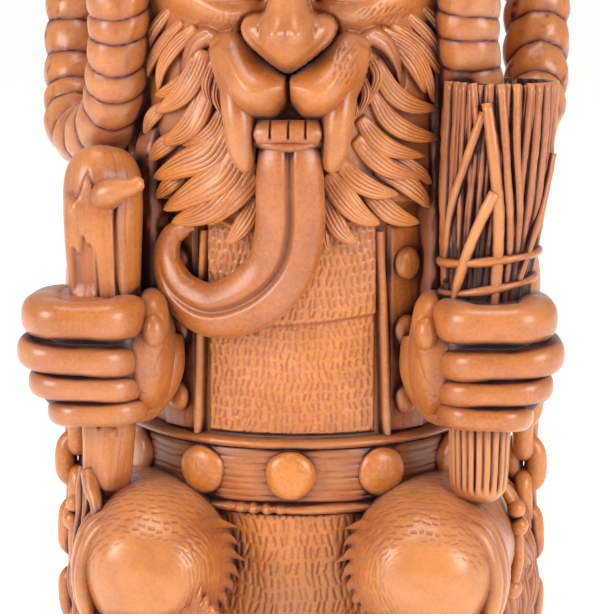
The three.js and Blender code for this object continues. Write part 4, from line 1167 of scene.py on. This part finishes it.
# where each finger ends beside the rod, outer end first, for the left and right fists
LEFT_ENDS = ((52.9, 30.0), (54.3, 31.0), (52.3, 30.4), (48.6, 29.6))
RIGHT_ENDS = ((52.0, 29.6), (54.0, 30.2), (52.0, 30.0), (48.2, 30.4))
hand_glaze = glaze("hand_glaze", TOFFEE, CARAMEL, pale=0.4)
for side, name in ((-1, "left"), (1, "right")):
    arm = Piece(f"{name}_arm_clay")
    limb(arm, mirrored(side, ARM), (0, -0.3, 1), 90, 48)
    arm.fire(skin_glaze, "skin", f"{name}_arm")

    fist = Piece(f"{name}_fist_clay", share=0.6)
    rod_y = -32.8 if side < 0 else -33.1
    for k, (outer, inner) in enumerate(LEFT_ENDS if side < 0 else RIGHT_ENDS):
        level, thick = LEVELS[k], THICK[k]
        half = (outer - inner) / 2 - thick * 0.8
        middle = (outer + inner) / 2
        deep = 11.6 - 0.5 * k
        a = np.radians(np.linspace(-50, 200, 110))
        x = side * (middle + half * np.sign(np.cos(a)) * np.abs(np.cos(a)) ** 0.55)
        y = rod_y - deep * np.sign(np.sin(a)) * np.abs(np.sin(a)) ** 0.6
        tilt = TILTS[k] * np.cos(a)
        bends = np.exp(-(((a - 2.85) / 0.3) ** 2)) + np.exp(-(((a - 0.3) / 0.45) ** 2))
        pad = 1 + 0.16 * bends + 0.05 * np.exp(-(((a - 2.2) / 0.3) ** 2))
        pad = pad - 0.04 * np.exp(-(((a - 1.55) / 0.2) ** 2))
        pad = pad + 0.03 * waves(a, 9.0 * k, 5 + side, fine=1.5)
        closing = np.sqrt(np.clip((a[-1] - a) / 0.5, 0.01, 1))
        path = np.stack([x, y, level + tilt], -1)
        way = np.gradient(path, axis=0)
        way = np.cross(way / np.linalg.norm(way, axis=1, keepdims=True), (0.0, 0.0, side))
        size = thick * pad * closing
        across, up = section(44, 0.8)
        rings = swept(path, way, across, up, size, size * 1.05)
        height = (rings[..., 2] - path[:, None, 2]) / size[:, None]
        # painted shade in the slits between the fingers
        gap = smooth(0.62, 0.95, -height if k == 0 else height if k == 3 else np.abs(height))
        fist.tube(rings, 0.95 * gap)
    ball(fist, (side * 38.5, rod_y + 5.5, 88.5), (14.2, 10.5, 12.6), 0.02, 61)
    # this core under the fingers is painted dark with shade below its top
    ball(fist, (side * 40.4, rod_y - 0.4, 87.6), (11.2, 9.8, 11.0), 0.01, 62, 0.6, 1.0)
    ball(fist, (side * 41.0, rod_y + 0.4, 97.0), (12.2, 11.8, 4.3), 0.012, 64, 0.62)
    ball(fist, (side * 29.4, rod_y + 0.4, 88.4), (5.9, 9.4, 12.6), 0.02, 63, 0.9)
    ball(fist, (side * 27.4, rod_y - 6.6, 94.4), (2.6, 3.4, 4.0), 0.02, 65)
    thumb = [
        (28.6, rod_y + 2, 99.0, 3.0), (28.0, rod_y - 3.0, 98.4, 3.2), (27.4, rod_y - 5.6, 95.6, 3.0),
        (28.0, rod_y - 6.4, 91.0, 2.6), (28.6, rod_y - 6.8, 86.6, 2.2), (29.4, rod_y - 6.6, 82.0, 1.6),
    ]
    limb(fist, mirrored(side, thumb), (-side, -1, 0), 50, 30)
    palm = [
        (25.6, rod_y + 3, 92, 3.4), (26.4, rod_y + 0.5, 85, 4.2), (29.6, rod_y - 1.5, 79, 3.8),
        (33.5, rod_y - 2.5, 76.6, 2.6),
    ]
    limb(fist, mirrored(side, palm), (-side, -1, 0), 40, 30)
    fist.fire(hand_glaze, "skin", f"{name}_fist")


# ---- legs and hooves ----
# The legs are drawn up: a haunch against the wall, a thigh coming forward, a rounded knee and a shin down
# to a cloven hoof. Fur is cut in with short strokes on the knees and laid on in locks on the shins and
# haunches.
KNEE_X, SHIN_Y = 27.5, -45.2
THIGH = [
    (34, 6, 40.5, 13.0), (32.6, -6, 43.5, 15.4), (30.6, -19.3, 46.0, 16.0), (28.9, -29, 46.6, 16.1),
    (27.8, -37.5, 46.7, 15.8), (KNEE_X, -43.5, 46.5, 15.0), (KNEE_X, -48.5, 46.4, 13.3),
    (KNEE_X, -52.4, 46.3, 10.6), (KNEE_X, -55.0, 46.2, 7.2), (KNEE_X, -56.5, 46.2, 3.6),
    (KNEE_X, -56.9, 46.2, 0.3),
]
SHIN = [
    (KNEE_X, -40, 44, 10), (KNEE_X, -42.5, 38, 11.6), (KNEE_X, -44.8, 32, 10.9), (KNEE_X, -45.5, 26, 10.2),
    (KNEE_X, -44.8, 18, 9.6), (KNEE_X, -44.5, 12, 9.2),
]
HAUNCH = (34, 14, 30)  # its middle on the right side
HAUNCH_RADII = (17.3, 23.3, 28.6)


def shin(degrees, z, out):
    """Points round the shin of this side, at degrees from straight ahead and a height, out from its
    axis."""
    a = np.radians(degrees)
    return np.stack([side * KNEE_X + out * np.sin(a), SHIN_Y - out * np.cos(a), z], -1)


def haunch(polar, degrees, out):
    """Points on the haunch of this side, at degrees down from its top and degrees back from its outer
    side."""
    t, a = np.radians(polar), np.radians(degrees)
    way = np.stack([side * np.sin(t) * np.cos(a), np.sin(t) * np.sin(a), np.cos(t)], -1)
    return np.array(HAUNCH) * (side, 1, 1) + way * (np.array(HAUNCH_RADII) + out[:, None])


for side, name in ((-1, "left"), (1, "right")):
    leg = Piece(f"{name}_leg_clay", share=0.75)
    thigh = through(THIGH, 168)
    path = thigh[:, :3] * (side, 1, 1)
    v = np.linspace(0, 2 * np.pi, 230, endpoint=False)[None]
    v = v + 0.45 * np.cos(v)
    run = np.r_[0, np.cumsum(np.linalg.norm(np.diff(thigh, axis=0), axis=1))][:, None]
    reach = thigh[:, 3:4]
    across, up = np.cos(v) * reach, np.sin(v) * reach
    kneecap = smooth(-30, -50, path[:, 1:2])
    bulge = 1.5 * spot(across, up, -4.8, 4.0, 5.0, 6.0) + 1.1 * spot(across, up, 5.4, 2.0, 4.6, 6.0)
    dip = -0.4 * spot(across, up, 0.2, 5.5, 2.0, 6.0)
    lie = np.arctan2(up, across)
    fur_x, fur_z = run + 2.5 * np.cos(lie * 2), lie * 12.5 + 0.3 * run
    fur = dashes(fur_x, fur_z, 2.2, 1.9, 71 + side, length=0.34, thin=0.26)
    above = smooth(0.3, 0.6, np.sin(v) + 0.3 * np.sin(3 * v + side) - 0.1 * kneecap)
    above = above * smooth(7.0, 11.0, reach)
    inner_side = smooth(0.35, 0.75, -side * np.cos(v)) * smooth(5, 9, reach)
    hatch = dashes(run, lie * 9.0, 1.2, 3.0, 75 + side, length=0.42, thin=0.22) * inner_side
    strokes = np.maximum(fur * above * 0.75, hatch * 0.5)
    size = reach * (1 + 0.012 * np.sin(3 * v + 1)) + (bulge + dip) * kneecap - 0.34 * strokes
    # painted shade in the fur strokes
    leg.tube(swept(path, UPWARD, -np.cos(v) * size, np.sin(v) * size), 0.8 * strokes)
    limb(leg, mirrored(side, SHIN), AHEAD, 60, 60)
    ball(leg, mirrored(side, [HAUNCH])[0], HAUNCH_RADII, 0.01, 81)
    knee = np.array([side * KNEE_X, -38.5, 46.5])
    for k in range(8):
        spike = []
        for polar, drift, out, thick in (
            (44, 12, -1.0, 0.8), (64, 7, -0.5, 1.5), (82, 0, 0.0, 1.3), (92, -6, 0.8, 0.8),
            (98, -12, 1.7 + 0.7 * (k % 3), 0.15),
        ):
            a, b = math.radians(polar), math.radians(12 * k - 50 + drift)
            way = np.array([-side * math.sin(a) * math.cos(b), -math.cos(a), math.sin(a) * math.sin(b)])
            spike.append((*(knee + way * (np.array([15.3, 16.6, 15.4]) + out)), thick))
        limb(leg, spike, (-side, 0.4, 0.2), 22, 14, 0.8)
    for k, y in enumerate((-47.5, -44.0, -40.2, -36.4, -32.6, -28.8)):
        draw = np.random.default_rng(330 + k)
        swell = 15.6 * math.sqrt(max(0.3, 1 - max(0.0, -39 - y) ** 2 / 330))
        drop, sway = draw.uniform(-2, 2), draw.uniform(-0.6, 0.6)
        strand = [
            (0.30 * swell + KNEE_X, y, 46.5 + 0.9 * swell, 0.2),
            (0.80 * swell + KNEE_X, y + sway, 46.5 + 0.58 * swell, 1.9),
            (0.99 * swell + KNEE_X, y, 46.5, 2.2),
            (0.90 * swell + 28.0, y - sway, 46.5 - 0.55 * swell, 1.9),
            (0.74 * swell + 28.5, y + 0.6, 46.5 - 0.95 * swell + drop, 0.3),
        ]
        limb(leg, mirrored(side, strand), (side, -0.2, 0), 40, 22, 0.85)
    for row in range(4):
        for k in range(13):
            draw = np.random.default_rng(400 + 20 * row + k)
            degrees = 360 / 13 * (k + 0.5 * (row % 2))
            top = 37 - 6.4 * row
            tip = top - 12.5 + draw.uniform(-1, 1)
            bend, swing = draw.uniform(-9, 9), draw.uniform(-6, 6)
            hang = [(degrees, top), (degrees + bend, (top + tip) / 2), (degrees + swing, tip)]
            middle = (side * KNEE_X, SHIN_Y, 0)
            lock(leg, hang, 2.6, 10.0 - 0.45 * row, 1.5, 2, 400 + 20 * row + k, shin, middle)
    for row in range(6):
        for k in range(13):
            draw = np.random.default_rng(500 + 20 * row + k)
            polar, degrees = 38 + 18 * row, -78 + 14 * k + 7 * (row % 2)
            bend = 6 * math.sin(k * 1.3 + row) + draw.uniform(-3, 3)
            drifts = ((0, 0.0), (13, bend), (24, -0.4 * bend), (33, 0.8 * bend))
            lie = [(polar + down, degrees + drift) for down, drift in drifts]
            wide, middle = draw.uniform(2.2, 3.1), mirrored(side, [HAUNCH])[0]
            lock(leg, lie, wide, -0.6, 1.5, 3, 500 + 20 * row + k, haunch, middle, upright=False)
    if side < 0:
        for dx, tall in ((0.0, 9.0), (1.9, 6.5), (-2.2, 5.0), (3.6, 4.4)):
            tuft = [
                (-19.5 + dx, -46.0, 32.0, 2.0), (-18.5 + dx, -50.5, 36.5, 2.2),
                (-18.0 + 0.8 * dx, -52.6, 38.0 + 0.5 * tall, 1.4),
                (-16.8 + 0.6 * dx, -52.0, 37.0 + tall, 0.2),
            ]
            limb(leg, tuft, (0.0, -1.0, 0.2), 24, 18)
    leg.fire(skin_glaze, "hair", f"{name}_leg")

    hoof = Piece(f"{name}_hoof_clay")
    z = np.r_[0.0, np.linspace(0.6, 12.4, 40), 13.0][:, None]
    v = np.linspace(0, 2 * np.pi, 97, endpoint=False)[None]
    cleft = np.exp(-(((v - 1.5 * np.pi) / 0.085) ** 2))
    growth = (0.5 + 0.5 * np.cos(z * 2.6 + 0.5 * np.sin(2 * v))) ** 4
    taper = np.interp(z, [0, 0.6, 2, 12.4, 13.0], [10.6, 11.4, 11.6, 9.3, 8.6])
    size = taper * (1 + 0.05 * np.cos(2 * (v - 1.5 * np.pi))) - 2.6 * cleft - 0.16 * growth
    rings = np.broadcast_arrays(side * KNEE_X + size * np.cos(v), -44.5 + size * np.sin(v), z)
    # painted shade in the cleft and growth rings
    hoof.tube(np.stack(rings, -1), np.maximum(cleft, 0.35 * growth))
    hoof.fire(horn_glaze, "horn", f"{name}_hoof")


# ---- chains and bead cords ----
# Links are bent from rolled clay and stuck on one over the next, by turns flat against the mug and on edge.
# The bead cords beside the thighs are a thin coil with round beads pressed over it.
LINKS = 8
LENGTH, WIDTH = 13.8, 9.2  # of a link, outside
TOP, PITCH = 78.0, 8.0  # height of the chain's top, and from one link down to the next
BEAD_CORD = [
    (42.9, -21.7, 60.5, 1.0), (45.6, -21.9, 55.5, 1.2), (46.9, -21.2, 50, 1.2), (47.3, -19.8, 42, 1.2),
    (46.0, -17.6, 34.5, 1.1),
]
for side, name in ((-1, "left"), (1, "right")):
    chain = Piece(f"{name}_chain_clay")
    inward = 1.7 if side > 0 else 0.0
    for k in range(LINKS):
        z = TOP - LENGTH / 2 - k * PITCH
        lean = max(0.0, z - 64.4)
        centre = np.array([side * (51.8 - 0.14 * lean) - inward, 15 - 0.5 * lean, z])
        a = np.linspace(0, 2 * np.pi, 61)[:-1]
        reach = WIDTH / 2 - 2.1
        wide = reach * np.cos(a) * (1 + 0.03 * np.sin(2 * a + k))
        tall = reach * np.sin(a) + (LENGTH - WIDTH) / 2 * np.tanh(3 * np.sin(a))
        way = np.array([0.25 * side, 1.0, 0.0]) if k % 2 else np.array([1.0 * side, -0.15, 0.0])
        way = way / np.linalg.norm(way)
        loop = centre + wide[:, None] * way + tall[:, None] * UPWARD
        along = np.roll(loop, -1, 0) - np.roll(loop, 1, 0)
        along = along / np.linalg.norm(along, axis=1, keepdims=True)
        over = np.cross(way, UPWARD)
        hoop(chain, loop, np.cross(along, over), over, 2.5 + 0.15 * np.sin(3 * a + k), 18)
    chain.fire(metal_glaze, "iron", f"{name}_chain")

    cord = Piece(f"{name}_bead_cord_clay")
    limb(cord, mirrored(side, BEAD_CORD), (side, 0, 0), 40, 14)
    for (x, y, z, _), rise in ((BEAD_CORD[2], 0.4), (BEAD_CORD[4], 1.2)):
        ball(cord, (side * (x + 0.3), y - 0.6, z + rise), (2.1, 2.1, 2.2))
    ball(cord, (side * 46.6, -22.6, 54.2), (1.9, 1.9, 1.9))
    cord.fire(metal_glaze, "iron", f"{name}_bead_cord")


# ---- painted shade ----
# The glaze colour is darkened with painted shade where clay stands close round a place, which is worked out
# from how much surface lies near each point just above the glaze; raised places get a pale colour, partly a
# painted highlight.
CELL = 0.7  # size of the cells that surface is counted in
BLUR = 5  # cells averaged along each axis, twice
OFF = 1.3  # how far above the glaze the count is read


def painted_shading():
    """Counts surface area in small cells, blurs it, and reads it a little way out along each point's
    normal. More area there than over flat clay means a hollow, less means a raised place."""
    cloud, weight = [], []
    for made, points, quads, hollow, share in fired:
        corner = points[quads]
        one, other = corner[:, 2] - corner[:, 0], corner[:, 3] - corner[:, 1]
        size = np.linalg.norm(one, axis=1)
        area = 0.5 * np.linalg.norm(np.cross(one, other), axis=1)
        parts = np.clip(np.ceil(size / CELL), 1, 6).astype(int)
        for n in np.unique(parts):
            chosen = parts == n
            c, a, w = corner[chosen], area[chosen] / n**2, share[quads[chosen]].mean(1)
            for s in (np.arange(n) + 0.5) / n:
                for t in (np.arange(n) + 0.5) / n:
                    near_edge, far_edge = c[:, 0] * (1 - s) + c[:, 1] * s, c[:, 3] * (1 - s) + c[:, 2] * s
                    cloud.append(near_edge * (1 - t) + far_edge * t)
                    weight.append(a * w)
    cloud, weight = np.concatenate(cloud), np.concatenate(weight)
    origin = cloud.min(0) - 6 * CELL
    shape = np.ceil((cloud.max(0) - origin) / CELL).astype(int) + 7
    cell = np.floor((cloud - origin) / CELL).astype(int)
    flat = np.ravel_multi_index(cell.T, shape)
    field = np.bincount(flat, weight, minlength=int(np.prod(shape))).reshape(shape)
    for axis in range(3):
        for _ in range(2):
            total = np.cumsum(field, axis)
            field = (np.roll(total, -(BLUR // 2), axis) - np.roll(total, BLUR // 2 + 1, axis)) / BLUR
    level = 1.0 / (BLUR * CELL) * CELL**3
    for made, points, quads, hollow, share in fired:
        normal = np.zeros(len(points) * 3)
        made.data.vertices.foreach_get("normal", normal)
        place = (points + normal.reshape(-1, 3) * OFF - origin) / CELL - 0.5
        base = np.clip(np.floor(place).astype(int), 0, np.array(shape) - 2)
        f = place - base
        near = 0.0
        for dx in (0, 1):
            for dy in (0, 1):
                for dz in (0, 1):
                    part = np.abs(1 - dx - f[:, 0]) * np.abs(1 - dy - f[:, 1]) * np.abs(1 - dz - f[:, 2])
                    near = near + part * field[base[:, 0] + dx, base[:, 1] + dy, base[:, 2] + dz]
        near = near / level
        # painted shade where clay stands close round a point, joined with the piece's own hollows
        painted_occlusion = np.clip((near - 1.1) / 1.3, 0, 1)
        painted_shade = 1 - (1 - painted_occlusion) * (1 - hollow)
        # the pale edge colour, partly a painted highlight, goes where little clay stands near
        pale_edge_and_highlight = np.clip((0.95 - near) * 1.2, 0, 1) * (1 - painted_shade)
        for name, value in (("painted_shade", painted_shade), ("pale_edge_and_highlight", pale_edge_and_highlight)):
            layer = made.data.attributes.new(name, "FLOAT", "POINT")
            layer.data.foreach_set("value", value.astype(np.float32))


painted_shading()
